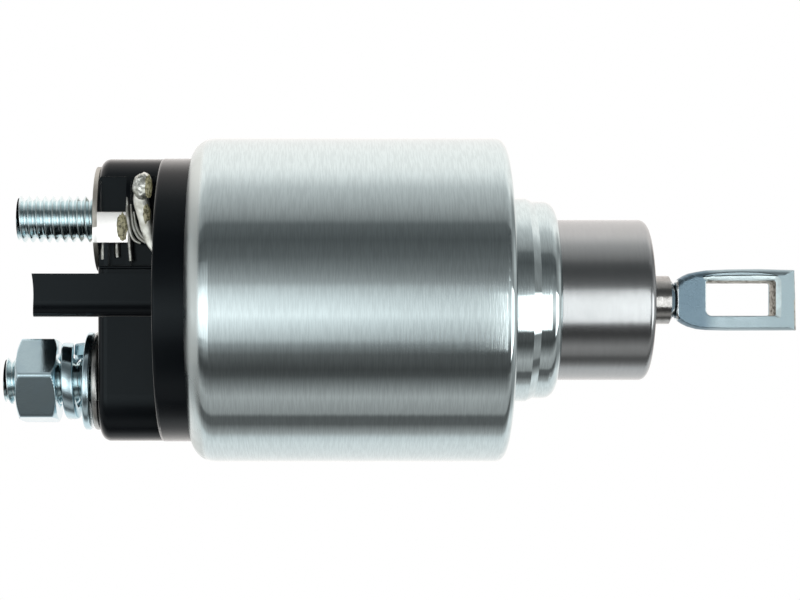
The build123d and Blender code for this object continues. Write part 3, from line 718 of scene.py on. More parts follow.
def rounded_section(width: float, height: float, radius: float, steps: int = 4) -> Outline:
    """A rectangle with rounded corners, centred on the origin.

    Args:
        width: Size along the first axis.
        height: Size along the second axis.
        radius: Corner radius.
        steps: Straight pieces in each corner.

    Returns:
        Its outline, counter-clockwise.
    """
    outline = []
    corners = ((1, 1, 0), (-1, 1, 90), (-1, -1, 180), (1, -1, 270))
    for side, rise, start in corners:
        centre = (side * (width / 2 - radius), rise * (height / 2 - radius))
        for step in range(steps + 1):
            angle = math.radians(start + 90 * step / steps)
            outline.append((centre[0] + radius * math.cos(angle), centre[1] + radius * math.sin(angle)))
    return outline


def turned(profile: Outline, axis: Pair, steps: int) -> Mesh:
    """Turns a closed profile about a line along X.

    Args:
        profile: Points of x and radius.
        axis: The line's y and z.
        steps: Divisions round the axis.

    Returns:
        The turned mesh.
    """
    sections = []
    for step in range(steps):
        y, z = ray(2 * math.pi * step / steps)
        sections.append([(x, axis[0] + r * y, axis[1] + r * z) for x, r in profile])
    return sweep(sections, closed_path=True)


def smooth_path(points: list[Row], steps: int) -> list[Row]:
    """A Catmull-Rom curve through rows of numbers.

    Args:
        points: Rows of the same length, such as x, y, z and radius.
        steps: Divisions between two points.

    Returns:
        The finer rows.
    """
    rows = [points[0], *points, points[-1]]
    fine = []
    for i in range(1, len(rows) - 2):
        a, b, c, d = rows[i - 1 : i + 3]
        for step in range(steps):
            t = step / steps
            row = []
            for p, q, r, s in zip(a, b, c, d):
                bend = (2 * p - 5 * q + 4 * r - s) * t**2 + (3 * q - p - 3 * r + s) * t**3
                row.append(0.5 * (2 * q + (r - p) * t + bend))
            fine.append(tuple(row))
    fine.append(points[-1])
    return fine


def wire(
    points: list[Row], sides: int, flatness: float = 1.0, roughness: float = 0.0, steps: int = 8,
    wander_scale: float = 1.6,
) -> Mesh:
    """A wire or a run of solder along a curve, thick as each row says.

    Args:
        points: Rows of x, y, z and radius.
        sides: Points round it.
        flatness: Its size along Y as a share of its size across the path.
        roughness: How far its surface wanders, as a share of the radius.
        steps: Divisions between two rows.
        wander_scale: How quickly the wandering changes, per millimetre.

    Returns:
        The wire's mesh.
    """
    rows = smooth_path(points, steps)
    sections = []
    for i, row in enumerate(rows):
        here = Vector(row[:3])
        before, after = Vector(rows[max(i - 1, 0)][:3]), Vector(rows[min(i + 1, len(rows) - 1)][:3])
        ahead = (after - before).normalized()
        side = ahead.cross(Vector((0.0, 1.0, 0.0))).normalized()
        lift = side.cross(ahead).normalized()
        loop = []
        for point in range(sides):
            across, up = ray(2 * math.pi * point / sides)
            out = side * across + lift * up * flatness
            wander = 1.0 + roughness * noise.noise((here + out * row[3]) * wander_scale)
            loop.append(tuple(here + out * row[3] * wander))
        sections.append(loop)
    return sweep(sections)


@dataclass(frozen=True)
class Panel:
    """One edge of a light panel in the tent round the part.

    Angles are in degrees about the X axis, 0 towards the camera and 90 straight up. The level is 1 for
    plain white, and the warmth runs from -1, cool, to 1, warm.
    """

    angle: float
    level: float
    warmth: float = 0.0
    most_red: float = 0.06
    least_blue: float = 0.03

    def colour(self) -> Colour:
        """The panel's colour, as a share of plain white."""
        red, blue = 1.0 + self.most_red * self.warmth, 1.0 - self.least_blue * self.warmth
        return (self.level * red, self.level, self.level * blue)


@dataclass
class Studio:
    """Camera, light tent and floor.

    In the tent a place along X is the ray's own share of it, 0 square on and 1 along the part's axis, and
    a turn about X is a share of the full circle. Angles are measured as a panel's are.
    """

    eye_x: float = -30.3
    eye_distance: float = 320.0
    lens: float = 86.8
    shift: float = 0.1
    clip_start: float = 10.0
    floor_drop: float = 120.0
    floor_r: float = 560.0
    floor_steps: int = 128
    floor_tone: float = 0.8
    floor_fade: Pair = (0.35, 0.95)
    floor_glow: float = 0.25
    tent_strength: float = 1.5
    panels: tuple[Panel, ...] = (
        Panel(-180.0, 1.12, 0.8), Panel(-120.0, 1.05, -0.1), Panel(-113.0, 0.92, -0.3),
        Panel(-107.0, 0.50, 0.2), Panel(-97.0, 0.16, 0.1), Panel(-89.0, 0.15),
        Panel(-86.0, 0.40, 0.3), Panel(-71.0, 0.56, 0.3), Panel(-60.0, 0.26, 0.1),
        Panel(-54.0, 0.11), Panel(-49.0, 0.085), Panel(-38.0, 0.15),
        Panel(-31.0, 0.35, -0.3), Panel(-27.0, 0.67, -0.3), Panel(-15.0, 1.08, -0.3),
        Panel(-10.5, 1.3, -0.2), Panel(1.0, 1.02, -0.3), Panel(8.0, 0.76, -0.3),
        Panel(12.0, 0.47, -0.2), Panel(19.0, 0.31, -0.3), Panel(30.0, 0.175, -0.5),
        Panel(42.0, 0.123, -0.7), Panel(54.0, 0.18, -0.5), Panel(57.5, 0.32, -0.1),
        Panel(63.0, 0.44, 0.1), Panel(72.0, 0.59, 0.1), Panel(85.0, 0.80, 0.2),
        Panel(98.0, 1.20, 0.6), Panel(107.0, 1.32, 0.9), Panel(130.0, 1.33, 1.0),
        Panel(163.0, 1.12, 0.9), Panel(180.0, 1.12, 0.8),
    )
    end_fade: Pair = (0.62, 0.86)
    end_rise: Pair = (0.87, 0.99)
    end_tones: Pair = (0.24, 0.46)
    left_end_fade: Pair = (-0.1, 0.1)
    left_end_gain: float = 0.06
    strip_gains: tuple[Pair, ...] = (
        (-0.132, 1.95), (-0.12, 1.3), (-0.08, 1.22), (-0.05, 1.17), (0.0, 1.07), (0.05, 0.92), (0.08, 0.85),
        (0.095, 0.78), (0.12, 1.0),
    )
    most_gain: float = 2.0
    front_low: Pair = (0.37, 0.40)
    front_high: Pair = (0.55, 0.59)
    box_angles: Pair = (-37.0, 3.0)
    box_rises: Pair = (2.6, 10.0)
    box_far_angles: Pair = (-53.0, 9.0)
    box_edge: float = 4.0
    box_start: Pair = (0.0985, 0.1025)
    box_spread: Pair = (0.1135, 0.1485)
    box_turn: Pair = (0.3, 0.5)
    box_near_end: Pair = (0.2, 0.24)
    box_far_start: Pair = (0.6, 0.7)
    box_far_end: Pair = (0.9, 1.0)
    box_level: float = 1.95
    box_colour: Colour = (0.74, 0.745, 0.745)

    def camera(self) -> None:
        """Sets the camera square to the part's side, level with its axis."""
        data = bpy.data.cameras.new("camera")
        data.lens = self.lens
        data.shift_x = self.shift
        data.clip_start = self.clip_start * MM
        camera = bpy.data.objects.new("camera", data)
        camera.location = (self.eye_x * MM, -self.eye_distance * MM, 0.0)
        camera.rotation_euler = (math.radians(90.0), 0.0, 0.0)
        bpy.context.scene.collection.objects.link(camera)
        bpy.context.scene.camera = camera

    def tent(self, graph: Graph, along: Socket, turn: Socket) -> Socket:
        """The panels' colour, evened out towards the tent's two ends.

        Args:
            graph: The world's graph.
            along: The ray's place along X.
            turn: The ray's turn about X.

        Returns:
            The colour's socket.
        """
        stops = []
        for panel in self.panels:
            colour = tuple(c / self.tent_strength for c in panel.colour())
            stops.append(((panel.angle + 180.0) / 360.0, colour))
        sideways = graph.math("ABSOLUTE", along)
        left = graph.fit(along, *self.left_end_fade, self.left_end_gain, 0.0)
        end = graph.total(graph.fit(sideways, *self.end_rise, *self.end_tones), left)
        return graph.blend(graph.fit(sideways, *self.end_fade, 0.0, 1.0), graph.ramp(turn, stops), end)

    def front_gain(self, graph: Graph, along: Socket, turn: Socket) -> Socket:
        """How much stronger the tent's front is than the rest of it.

        Args:
            graph: The world's graph.
            along: The ray's place along X.
            turn: The ray's turn about X.

        Returns:
            The socket of the added strength, 0 for none.
        """
        low, high = graph.fit(turn, *self.front_low, 0.0, 1.0), graph.fit(turn, *self.front_high, 1.0, 0.0)
        stops = [(0.5 + place, (gain / self.most_gain,) * 3) for place, gain in self.strip_gains]
        gains = graph.ramp(graph.total(along, 0.5), stops)
        gain = graph.product(graph.add("ShaderNodeSeparateColor", {0: gains}).outputs[0], self.most_gain)
        return graph.product(graph.math("SUBTRACT", gain, 1.0), graph.product(low, high))

    def soft_box(self, graph: Graph, along: Socket, angle: Socket) -> Socket:
        """The soft box on the plunger's side of the tent.

        Args:
            graph: The world's graph.
            along: The ray's place along X.
            angle: The ray's angle, in radians.

        Returns:
            The socket of the box's mask.
        """
        sideways = graph.math("ABSOLUTE", along)
        spread = graph.fit(sideways, *self.box_spread, 0.0, 1.0)
        turned_away = graph.fit(sideways, *self.box_turn, 0.0, 1.0)
        sides = []
        for start, rise, end in zip(self.box_angles, self.box_rises, self.box_far_angles):
            side = graph.math("MULTIPLY_ADD", spread, math.radians(rise), math.radians(start))
            change = graph.math("SUBTRACT", math.radians(end), side)
            sides.append(graph.math("MULTIPLY_ADD", turned_away, change, side))
        low, high = sides
        edge = math.radians(self.box_edge)
        above = graph.fit(angle, low, graph.total(low, edge), 0.0, 1.0)
        below = graph.fit(angle, high, graph.total(high, edge), 1.0, 0.0)
        near = graph.fit(sideways, *self.box_near_end, 1.0, 0.0)
        far_start = graph.fit(along, *self.box_far_start, 0.0, 1.0)
        far = graph.product(far_start, graph.fit(sideways, *self.box_far_end, 1.0, 0.0))
        start = graph.fit(along, *self.box_start, 0.0, 1.0)
        return graph.product(above, below, start, graph.total(near, far))

    def light(self) -> None:
        """A light tent round the long axis, with dark gaps between its panels."""
        world = bpy.data.worlds.new("light_tent")
        world.use_nodes = True
        bpy.context.scene.world = world
        graph = Graph(world.node_tree)
        x, y, z = graph.split(graph.add("ShaderNodeTexCoord").outputs["Generated"])
        angle = graph.math("ARCTAN2", z, graph.product(y, -1.0))
        turn = graph.total(graph.math("DIVIDE", angle, 2 * math.pi), 0.5)
        box = self.soft_box(graph, x, angle)
        tent = graph.blend(box, self.tent(graph, x, turn), self.box_colour)
        level = graph.total(self.front_gain(graph, x, turn), graph.product(box, self.box_level), 1.0)
        strength = graph.product(level, self.tent_strength)
        seen = graph.seen()
        colour = graph.blend(seen, tent, WHITE)
        change = graph.product(seen, graph.math("SUBTRACT", 1.0, strength))
        inputs = {"Color": colour, "Strength": graph.total(strength, change)}
        background = graph.add("ShaderNodeBackground", inputs)
        graph.add("ShaderNodeOutputWorld", {"Surface": background.outputs[0]})

    def floor(self) -> None:
        """A plain pale round floor, far enough below the part not to show from its side."""
        shape = bmesh.new()
        radius = self.floor_r * MM
        bmesh.ops.create_circle(shape, cap_ends=True, segments=self.floor_steps, radius=radius)
        data = bpy.data.meshes.new("floor")
        shape.to_mesh(data)
        shape.free()
        floor = bpy.data.objects.new("floor", data)
        low, high = CAD_BOX
        floor.location = ((low[0] + high[0]) / 2, 0.0, low[2] - self.floor_drop * MM)
        bpy.context.scene.collection.objects.link(floor)
        floor.visible_glossy = False
        material, graph = new_material("pale_floor")
        paint = graph.add("ShaderNodeBsdfDiffuse", {"Color": (self.floor_tone,) * 3})
        reach = graph.add("ShaderNodeVectorMath", {0: graph.place()}, operation="LENGTH").outputs["Value"]
        start, end = (share * radius for share in self.floor_fade)
        white = graph.product(graph.seen(), graph.fit(reach, start, end, self.floor_glow, 1.0))
        glow = graph.add("ShaderNodeEmission", {"Color": WHITE, "Strength": 1.0})
        both = graph.add("ShaderNodeMixShader", {0: white, 1: paint.outputs[0], 2: glow.outputs[0]})
        graph.add("ShaderNodeOutputMaterial", {"Surface": both.outputs[0]})
        data.materials.append(material)

    def build(self) -> None:
        """Sets the whole studio up."""
        bpy.context.scene.view_settings.view_transform = "Standard"
        self.camera()
        self.light()
        self.floor()
        LOG.info("studio is set")


@dataclass
class CadFinishes:
    """The finishes of the CAD nodes."""

    finishes: Finishes

    def build(self) -> None:
        """Dresses every CAD node by its slot in the record."""
        by_slot = {finish.value.name: finish for finish in Finish}
        for part in frame["record"]["subparts"]:
            self.finishes.dress_node(part["node"], by_slot[part["material_slot"]])


@dataclass
class ThreadedStud:
    """A terminal stud with an M8 thread, its neck in the cap and its contact head inside."""

    finishes: Finishes
    node: str
    axis_z: float
    neck_end: float
    major_r: float = 3.87
    root_r: float = 3.12
    pitch: float = 1.343
    root_rise: float = 0.04
    crest_drop: float = 0.02
    chamfer: float = 0.35
    neck_r: float = 4.4
    head_thickness: float = 3.0
    head_width: float = 12.0
    head_height: float = 11.0
    head_corner_r: float = 1.5
    turn_steps: int = 56
    neck_steps: int = 72

    def tooth(self) -> Outline:
        """One pitch of the thread's profile.

        Returns:
            Shares of the pitch, each with its radius.
        """
        crest, root = self.major_r, self.root_r
        flank = (crest - root) / 5
        rising = [
            (0.58, root + self.root_rise), (0.64, root + flank * 0.7),
            (0.91, crest - flank * 0.6), (0.95, crest - self.crest_drop),
        ]
        falling = [(round(1.0 - share, 2), radius) for share, radius in reversed(rising)]
        return [(0.0, crest), *falling, (0.5, root), *rising]

    def thread(self, start: float, end: float) -> Mesh:
        """The threaded length.

        Args:
            start: X of the free end.
            end: X where the neck begins.

        Returns:
            The thread's mesh, open at the neck.
        """
        tooth = self.tooth()
        turns = (end - start) / self.pitch + 2
        columns = int(turns * self.turn_steps)
        tip_r = self.major_r - self.chamfer
        vertices: list[Point] = []
        for column in range(columns + 1):
            y, z = ray(2 * math.pi * column / self.turn_steps)
            base = start - self.pitch + self.pitch * column / self.turn_steps
            for share, radius in [*tooth, (1.0, self.major_r)]:
                x = min(max(base + share * self.pitch, start), end)
                r = min(radius, tip_r + (x - start))
                vertices.append((x, r * y, self.axis_z + r * z))
        count = len(tooth) + 1
        faces = [
            (i * count + j, i * count + j + 1, (i + 1) * count + j + 1, (i + 1) * count + j)
            for i in range(columns)
            for j in range(count - 1)
        ]
        rim = len(vertices)
        for step in range(self.turn_steps):
            y, z = ray(2 * math.pi * step / self.turn_steps)
            vertices.append((start, tip_r * y, self.axis_z + tip_r * z))
        faces.append(tuple(range(rim, rim + self.turn_steps)))
        return Mesh(vertices, faces)

    def build(self) -> None:
        """Builds the stud in place of its CAD node."""
        low, high = node_box(self.node)
        head_start = high.x - self.head_thickness
        shape = self.thread(low.x, self.neck_end)
        neck = [
            (self.neck_end, 0.0), (self.neck_end, self.neck_r), (head_start, self.neck_r), (head_start, 0.0),
        ]
        shape.add(turned(neck, (0.0, self.axis_z), self.neck_steps))
        outline = rounded_section(self.head_width, self.head_height, self.head_corner_r)
        head = [[(x, y, self.axis_z + z) for y, z in outline] for x in (head_start, high.x)]
        shape.add(sweep(head))
        shape.to_piece(
            self.node + "_threaded", self.finishes.get(Finish.ZINC_STUD_PAINTED_LIGHTER), "housing", "zinc_hardware",
            (self.node,), crease=50.0,
        )


@dataclass
class StudFasteners:
    """Nut, split washer and flat washers on the battery stud."""

    finishes: Finishes
    axis_z: float
    across_flats: float = 13.0
    nut_turn: float = 10.0
    bore_r: float = 4.05
    bore_mouth_r: float = 4.6
    corner_soften: float = 0.06
    face_angle: float = 28.0
    face_inset: float = 0.05
    arc_soften: float = 0.04
    arc_reach: float = 0.02
    nut_steps: int = 180
    nut_insets: Row = (0.0, 0.02, 0.06, 0.12, 0.2, 0.3, 0.42, 0.56, 0.72, 0.9, 1.2, 1.8)
    washer_r: float = 8.1
    washer_hole_r: float = 4.3
    washer_edge_r: float = 0.4
    inner_edge_r: float = 0.55
    washer_tilt: float = 1.5
    washer_thickness: float = 1.2
    washer_steps: int = 128
    split_section: float = 2.0
    split_edge_r: float = 0.3
    split_turn: float = 350.0
    split_start: float = 90.0
    split_slant: float = 0.13
    split_steps: int = 120

    def nut(self) -> Mesh:
        """A hexagon nut with turned-off corners and a countersunk bore.

        Returns:
            The nut's mesh.
        """
        low, high = node_box("terminal_nut")
        half, centre = (high.x - low.x) / 2, (high.x + low.x) / 2
        flat = self.across_flats / 2
        corner = flat / math.cos(math.radians(30.0)) - self.corner_soften
        slope = math.tan(math.radians(self.face_angle))
        mouth = self.bore_mouth_r - self.bore_r
        bore = [
            (centre + half, self.bore_mouth_r), (centre + half - mouth, self.bore_r),
            (centre - half + mouth, self.bore_r), (centre - half, self.bore_mouth_r),
        ]
        profile_x = [-half + inset for inset in self.nut_insets]
        profile_x += [half - inset for inset in reversed(self.nut_insets)]
        sections = []
        for step in range(self.nut_steps):
            angle = 2 * math.pi * step / self.nut_steps
            away = math.radians(((math.degrees(angle) + self.nut_turn) % 60.0) - 30.0)
            hexagon = min(flat / math.cos(away), corner)
            loop = []
            for x in profile_x:
                cone = flat - self.face_inset + (half - abs(x)) / slope
                soften = math.exp(-((hexagon - cone) ** 2) / self.arc_reach) * self.arc_soften
                loop.append((centre + x, min(hexagon, cone) - soften))
            y, z = ray(angle)
            sections.append([(x, r * y, self.axis_z + r * z) for x, r in loop + bore])
        return sweep(sections, closed_path=True)

    def flat_washer(self, centre_x: float, tilt: float, edge_r: float) -> Mesh:
        """One stamped washer, rounded on its outer edge.

        Args:
            centre_x: Its middle along X.
            tilt: Its lean in degrees.
            edge_r: Radius on its edges.

        Returns:
            The washer's mesh.
        """
        section = rounded_section(self.washer_thickness, self.washer_r - self.washer_hole_r, edge_r)
        middle = (self.washer_r + self.washer_hole_r) / 2
        mesh = turned([(x, middle + r) for x, r in section], (0.0, 0.0), self.washer_steps)
        cos, sin = ray(math.radians(tilt))
        mesh.vertices = [
            (centre_x + x * cos + z * sin, y, self.axis_z - x * sin + z * cos) for x, y, z in mesh.vertices
        ]
        return mesh

    def split_washer(self) -> Mesh:
        """One open turn of squared wire.

        Returns:
            The washer's mesh.
        """
        low, high = node_box("lock_washer")
        section = rounded_section(self.split_section, self.split_section, self.split_edge_r)
        rise = high.x - low.x - self.split_section
        middle = (high.y - low.y - self.split_section) / 2
        sections = []
        for step in range(self.split_steps + 1):
            share = step / self.split_steps
            angle = math.radians(self.split_turn * share) + math.radians(self.split_start)
            x0 = low.x + self.split_section / 2 + rise * share
            loop = []
            for x, r in section:
                y, z = ray(angle + self.split_slant * x)
                loop.append((x0 + x, (middle + r) * y, self.axis_z + (middle + r) * z))
            sections.append(loop)
        return sweep(sections)

    def build(self) -> None:
        """Builds the fasteners in place of their CAD nodes."""
        material = self.finishes.get(Finish.ZINC_HARDWARE)
        dull = self.finishes.get(Finish.DULL_WASHER)
        nut = self.nut()
        nut.to_piece("hexagon_nut", material, "housing", "zinc_hardware", ("terminal_nut",), crease=24.0)
        low, high = node_box("flat_washers")
        inner = self.flat_washer(high.x - self.washer_thickness / 2, 0.0, self.inner_edge_r)
        inner.to_piece("inner_washer", dull, "housing", "zinc_hardware", ("flat_washers",))
        lean = math.radians(self.washer_tilt)
        reach = self.washer_thickness / 2 * math.cos(lean) + self.washer_r * math.sin(lean)
        outer = self.flat_washer(low.x + reach, self.washer_tilt, self.washer_edge_r)
        outer.to_piece("outer_washer", material, "housing", "zinc_hardware", ("flat_washers",))
        self.split_washer().to_piece("split_washer", material, "housing", "zinc_hardware", ("lock_washer",))


@dataclass
class PullEye:
    """The flat eye on the rod: rolled edges, and a window punched through from the front."""

    finishes: Finishes
    centre: Pair = (39.1, 0.2)
    half_thickness: float = 1.75
    outline: tuple[Pair, ...] = (
        (48.05, 4.96), (42.3, 5.12), (37.0, 5.06), (33.6, 4.9), (32.1, 4.66), (30.8, 4.4), (29.9, 4.0),
        (29.1, 3.5), (28.6, 2.95), (28.3, 2.45), (28.2, 2.0), (28.2, -2.2), (28.35, -2.75), (28.75, -3.3),
        (29.55, -3.9), (30.6, -4.42), (32.0, -4.82), (33.6, -5.0), (37.0, -5.08), (48.28, -5.04), (48.2, 0.2),
    )
    window_left: float = 33.4
    window_low: float = -2.62
    front_right: float = 44.95
    front_high: float = 3.2
    back_right: float = 44.45
    back_high: float = 2.74
    corner_r: float = 0.35
    large_corner_r: float = 1.0
    top_profile: tuple[Pair, ...] = (
        (0.0, 0.0), (0.0, 0.8), (0.03, 1.05), (0.13, 1.28), (0.5, 1.62), (0.95, 1.75), (1.1, 1.75),
    )
    low_profile: tuple[Pair, ...] = (
        (0.0, 0.0), (0.02, 0.7), (0.14, 1.02), (0.28, 1.34), (0.44, 1.68), (0.52, 1.75), (0.66, 1.75),
    )
    end_profile: tuple[Pair, ...] = (
        (0.0, 0.0), (0.0, 0.9), (0.02, 1.3), (0.05, 1.6), (0.1, 1.72), (0.16, 1.75), (0.3, 1.75),
    )
    end_facing: float = 0.8
    least_slope: float = 0.3
    most_stretch: float = 3.0
    lens_above: float = 2.95
    lens_depth: float = 1.35
    lens_sag: float = 0.2
    rim_depth: float = 0.9
    rim_width: float = 0.4
    edge_depth: float = 0.12
    edge_sag: float = 0.1
    roll_profile: tuple[Pair, ...] = ((1.0, 0.0), (0.6, 0.17), (0.25, 0.5), (0.0, 1.0))
    torn_places: Pair = (0.3, 0.6)
    torn_depth: float = 1.6
    torn_wander: float = 0.12
    torn_scale: Pair = (1.3, 3.0)
    torn_end: float = 0.9
    back_chamfers: Pair = (0.1, 0.25)
    burr_start: float = 47.9
    rays: int = 360

    def window(self, right: float, high: float) -> Outline:
        """The window's outline at one depth.

        Args:
            right: X of its right side.
            high: Z of its upper side.

        Returns:
            Points of x and z.
        """
        corners = (
            (right, high, -1, -1, 0, self.corner_r),
            (self.window_left, high, 1, -1, 90, self.corner_r),
            (self.window_left, self.window_low, 1, 1, 180, self.large_corner_r),
            (right, self.window_low, -1, 1, 270, self.corner_r),
        )
        points = []
        for x, z, inward, rise, start, radius in corners:
            for step in range(5):
                across, up = ray(math.radians(start + 90.0 * step / 4))
                points.append((x + inward * radius + radius * across, z + rise * radius + radius * up))
        return points

    def cast(self, outline: Outline, angle: float) -> tuple[Vector, Vector]:
        """Where a ray from the centre meets an outline.

        Args:
            outline: Points of x and z.
            angle: The ray's angle, in radians.

        Returns:
            The meeting point and the edge's outward normal.
        """
        way, start = Vector(ray(angle)), Vector(self.centre)
        for i, point in enumerate(outline):
            a, b = Vector(point) - start, Vector(outline[(i + 1) % len(outline)]) - start
            edge = b - a
            cross = way.x * edge.y - way.y * edge.x
            if abs(cross) < PARALLEL:
                continue
            reach = (a.x * edge.y - a.y * edge.x) / cross
            share = (a.x * way.y - a.y * way.x) / cross
            if reach > 0.0 and -SLACK <= share <= 1.0 + SLACK:
                normal = Vector((edge.y, -edge.x)).normalized()
                return start + way * reach, normal if normal.dot(way) > 0.0 else -normal
        raise ValueError("the outline doesn't surround its centre")

    def rim(self, angle: float) -> tuple[list[Point], list[Point]]:
        """The plate's outer edge along one ray from the window's middle.

        Args:
            angle: The ray's angle, in radians.

        Returns:
            Its points from the middle to the front face, and from the back face to the middle.
        """
        outer, normal = self.cast(list(self.outline), angle)
        way = Vector(ray(angle))
        stretch = min(1.0 / max(normal.dot(way), self.least_slope), self.most_stretch)
        share = min(max(normal.y + 0.5, 0.0), 1.0)
        at_end = normal.x > self.end_facing
        plain = self.end_profile if at_end else self.low_profile
        front = []
        for (top_in, top_y), (low_in, low_y) in zip(plain if at_end else self.top_profile, plain):
            spot = outer - way * (low_in + (top_in - low_in) * share) * stretch
            front.append((spot.x, -low_y - (top_y - low_y) * share, spot.y))
        back = []
        for inset, depth in reversed(self.low_profile[1:]):
            spot = outer - way * inset * stretch
            back.append((spot.x, depth, spot.y))
        return front, back

    def opening(self, angle: float, near: Vector, far: Vector) -> list[Point]:
        """The window's edge along one ray: rolled at the front, torn inside and plain at the back.

        Args:
            angle: The ray's angle, in radians.
            near: Where the ray meets the window's front outline.
            far: Where it meets the back one.

        Returns:
            Its points from the front face to the back face.
        """
        way, half = Vector(ray(angle)), self.half_thickness
        above = near.y - self.centre[1] > self.lens_above
        middle, width = (self.window_left + self.front_right) / 2, self.front_right - self.window_left
        bow = max(1.0 - ((near.x - middle) / width * 2.0) ** 2, 0.0)
        lens = self.lens_depth * math.sqrt(bow) / max(way.y, self.least_slope) if above else 0.0
        beside = near.x > self.front_right - self.rim_width
        roll = max(lens, self.rim_depth if beside else self.edge_depth)
        sag = self.lens_sag if above else self.edge_sag
        start = near + way * (roll + self.edge_depth)
        edge = [(start.x, -half, start.y)]
        for part, drop in self.roll_profile:
            spot = near + way * (roll * part)
            edge.append((spot.x, -half + sag * drop, spot.y))
        round_it, through = self.torn_scale
        for part in self.torn_places:
            place = Vector((near.x * round_it, near.y * round_it, part * through))
            spot = near.lerp(far, part + self.torn_wander * noise.noise(place))
            edge.append((spot.x, -(half - sag - part * self.torn_depth), spot.y))
        edge += [(far.x, self.torn_end, far.y), (far.x, half - self.back_chamfers[0], far.y)]
        for inset in self.back_chamfers:
            spot = far + way * inset
            edge.append((spot.x, half, spot.y))
        return edge

    def build(self) -> None:
        """Builds the eye in place of its CAD node."""
        front = self.window(self.front_right, self.front_high)
        back = self.window(self.back_right, self.back_high)
        angles = {round(2 * math.pi * step / self.rays, 5) for step in range(self.rays)}
        for x, z in self.outline:
            angles.add(round(math.atan2(z - self.centre[1], x - self.centre[0]) % (2 * math.pi), 5))
        sections = []
        for angle in sorted(angles):
            near, far = self.cast(front, angle)[0], self.cast(back, angle)[0]
            outer_front, outer_back = self.rim(angle)
            sections.append(outer_front + self.opening(angle, near, far) + outer_back)
        shape = sweep(sections, closed_path=True)
        roll_start = len(self.top_profile) + 1
        torn_start = roll_start + len(self.roll_profile) - 1
        torn_end = torn_start + len(self.torn_places) + 1
        marks = []
        for i, face in enumerate(shape.faces):
            column = i % len(sections[0])
            burr = min(shape.vertices[j][0] for j in face) > self.burr_start
            if roll_start <= column < torn_start:
                marks.append(1)
            else:
                marks.append(2 if burr or torn_start <= column < torn_end else 0)
        extra = (self.finishes.get(Finish.ROLLED_RIM), self.finishes.get(Finish.SHEARED_STEEL))
        shape.to_piece(
            "pull_eye_plate", self.finishes.get(Finish.ZINC_EYE), "pull_rod", "zinc_eye", ("pull_eye",),
            crease=38.0, extra=extra, marks=marks,
        )


@dataclass
class MotorStrap:
    """The strap over the motor stud: a round eye with a tab folded forward along the cap."""

    finishes: Finishes
    axis_z: float
    eye_r: float = 8.65
    hole_r: float = 4.3
    thickness: float = 0.8
    edge_r: float = 0.12
    tab_low: float = 9.2
    tab_high: float = 14.2
    tab_end: float = -61.1
    tab_inside: float = 4.0
    tab_taper: tuple[float, float, float] = (0.2, 0.8, 0.97)
    fold_r: float = 0.05
    fold_steps: int = 8
    turn_steps: int = 144
    seat_depth: float = 0.45
    seat_inset: float = 0.1
    seat_edge: Pair = (0.08, 0.25)
    ledge_ends: Pair = (1.3, 10.6)
    ledge_z: float = 5.25
    ledge_r: float = 0.3

    def eye(self, rear: float) -> Mesh:
        """The round eye.

        Args:
            rear: X of its outer face.

        Returns:
            The eye's mesh.
        """
        section = rounded_section(self.thickness, self.eye_r - self.hole_r, self.edge_r, 3)
        middle = (self.eye_r + self.hole_r) / 2
        profile = [(rear + self.thickness / 2 + x, middle + r) for x, r in section]
        return turned(profile, (0.0, self.axis_z), self.turn_steps)

    def tab(self, rear: float, near: float) -> Mesh:
        """The tab, from inside the eye round its fold to its end.

        Args:
            rear: X of the strap's outer face.
            near: Y of the tab's near face.

        Returns:
            The tab's mesh.
        """
        half = self.thickness / 2
        fold = half + self.fold_r
        path = [(rear + half, near + self.tab_inside, 0.0), (rear + half, near + half + fold, 0.0)]
        for step in range(1, self.fold_steps):
            turn = 90.0 * step / self.fold_steps
            along, up = ray(math.radians(turn))
            path.append((rear + half + fold * (1.0 - along), near + half + fold * (1.0 - up), turn))
        taper, thin, narrow = self.tab_taper
        path += [(rear + half + fold, near + half, 90.0), (self.tab_end - taper, near + half, 90.0)]
        centre, width = (self.tab_low + self.tab_high) / 2, self.tab_high - self.tab_low
        outline = rounded_section(self.thickness, width, self.edge_r, 3)
        sections = []
        for x, y, turn in path:
            along, up = ray(math.radians(turn))
            sections.append([(x + a * along, y - a * up, centre + b) for a, b in outline])
        sections.append([(self.tab_end, near + half + a * thin, centre + b * narrow) for a, b in outline])
        return sweep(sections)

    def seat(self, rear: float) -> Mesh:
        """The moulded seat behind the eye, square edged where the cap's own edge is rounded.

        Args:
            rear: X of the strap's outer face.

        Returns:
            The seat's mesh.
        """
        start, outer = rear + self.thickness, self.eye_r - self.seat_inset
        end, (small, large) = start + self.seat_depth, self.seat_edge
        profile = [
            (start, self.hole_r), (start, outer - large), (start + small, outer - small),
            (start + large, outer), (end, outer), (end, self.hole_r),
        ]
        return turned(profile, (0.0, self.axis_z), self.turn_steps)

    def ledge(self, rear: float, front: float, face: float) -> Mesh:
        """The narrow moulded ledge under the recess, from one X to another on the block's near face."""
        ends = [(x, face, self.ledge_z, self.ledge_r) for x in (rear, (rear + front) / 2, front)]
        return wire(ends, 20)

    def build(self) -> None:
        """Builds the strap in place of its CAD node."""
        low, _ = node_box("motor_strap")
        plastic = self.finishes.get(Finish.CAP_PLASTIC)
        self.seat(low.x).to_piece("strap_seat", plastic, "housing", "cap_plastic")
        start, end = (low.x + place for place in self.ledge_ends)
        ledge = self.ledge(start, end, low.y + self.thickness)
        ledge.to_piece("recess_ledge", plastic, "housing", "cap_plastic")
        edge = self.finishes.get(Finish.STRAP_EDGE)
        face = self.finishes.get(Finish.TINNED_STRAP)
        self.eye(low.x).to_piece("strap_eye", edge, "housing", "tinned_strap", ("motor_strap",))
        self.tab(low.x, low.y).to_piece("strap_tab", face, "housing", "tinned_strap", ("motor_strap",))


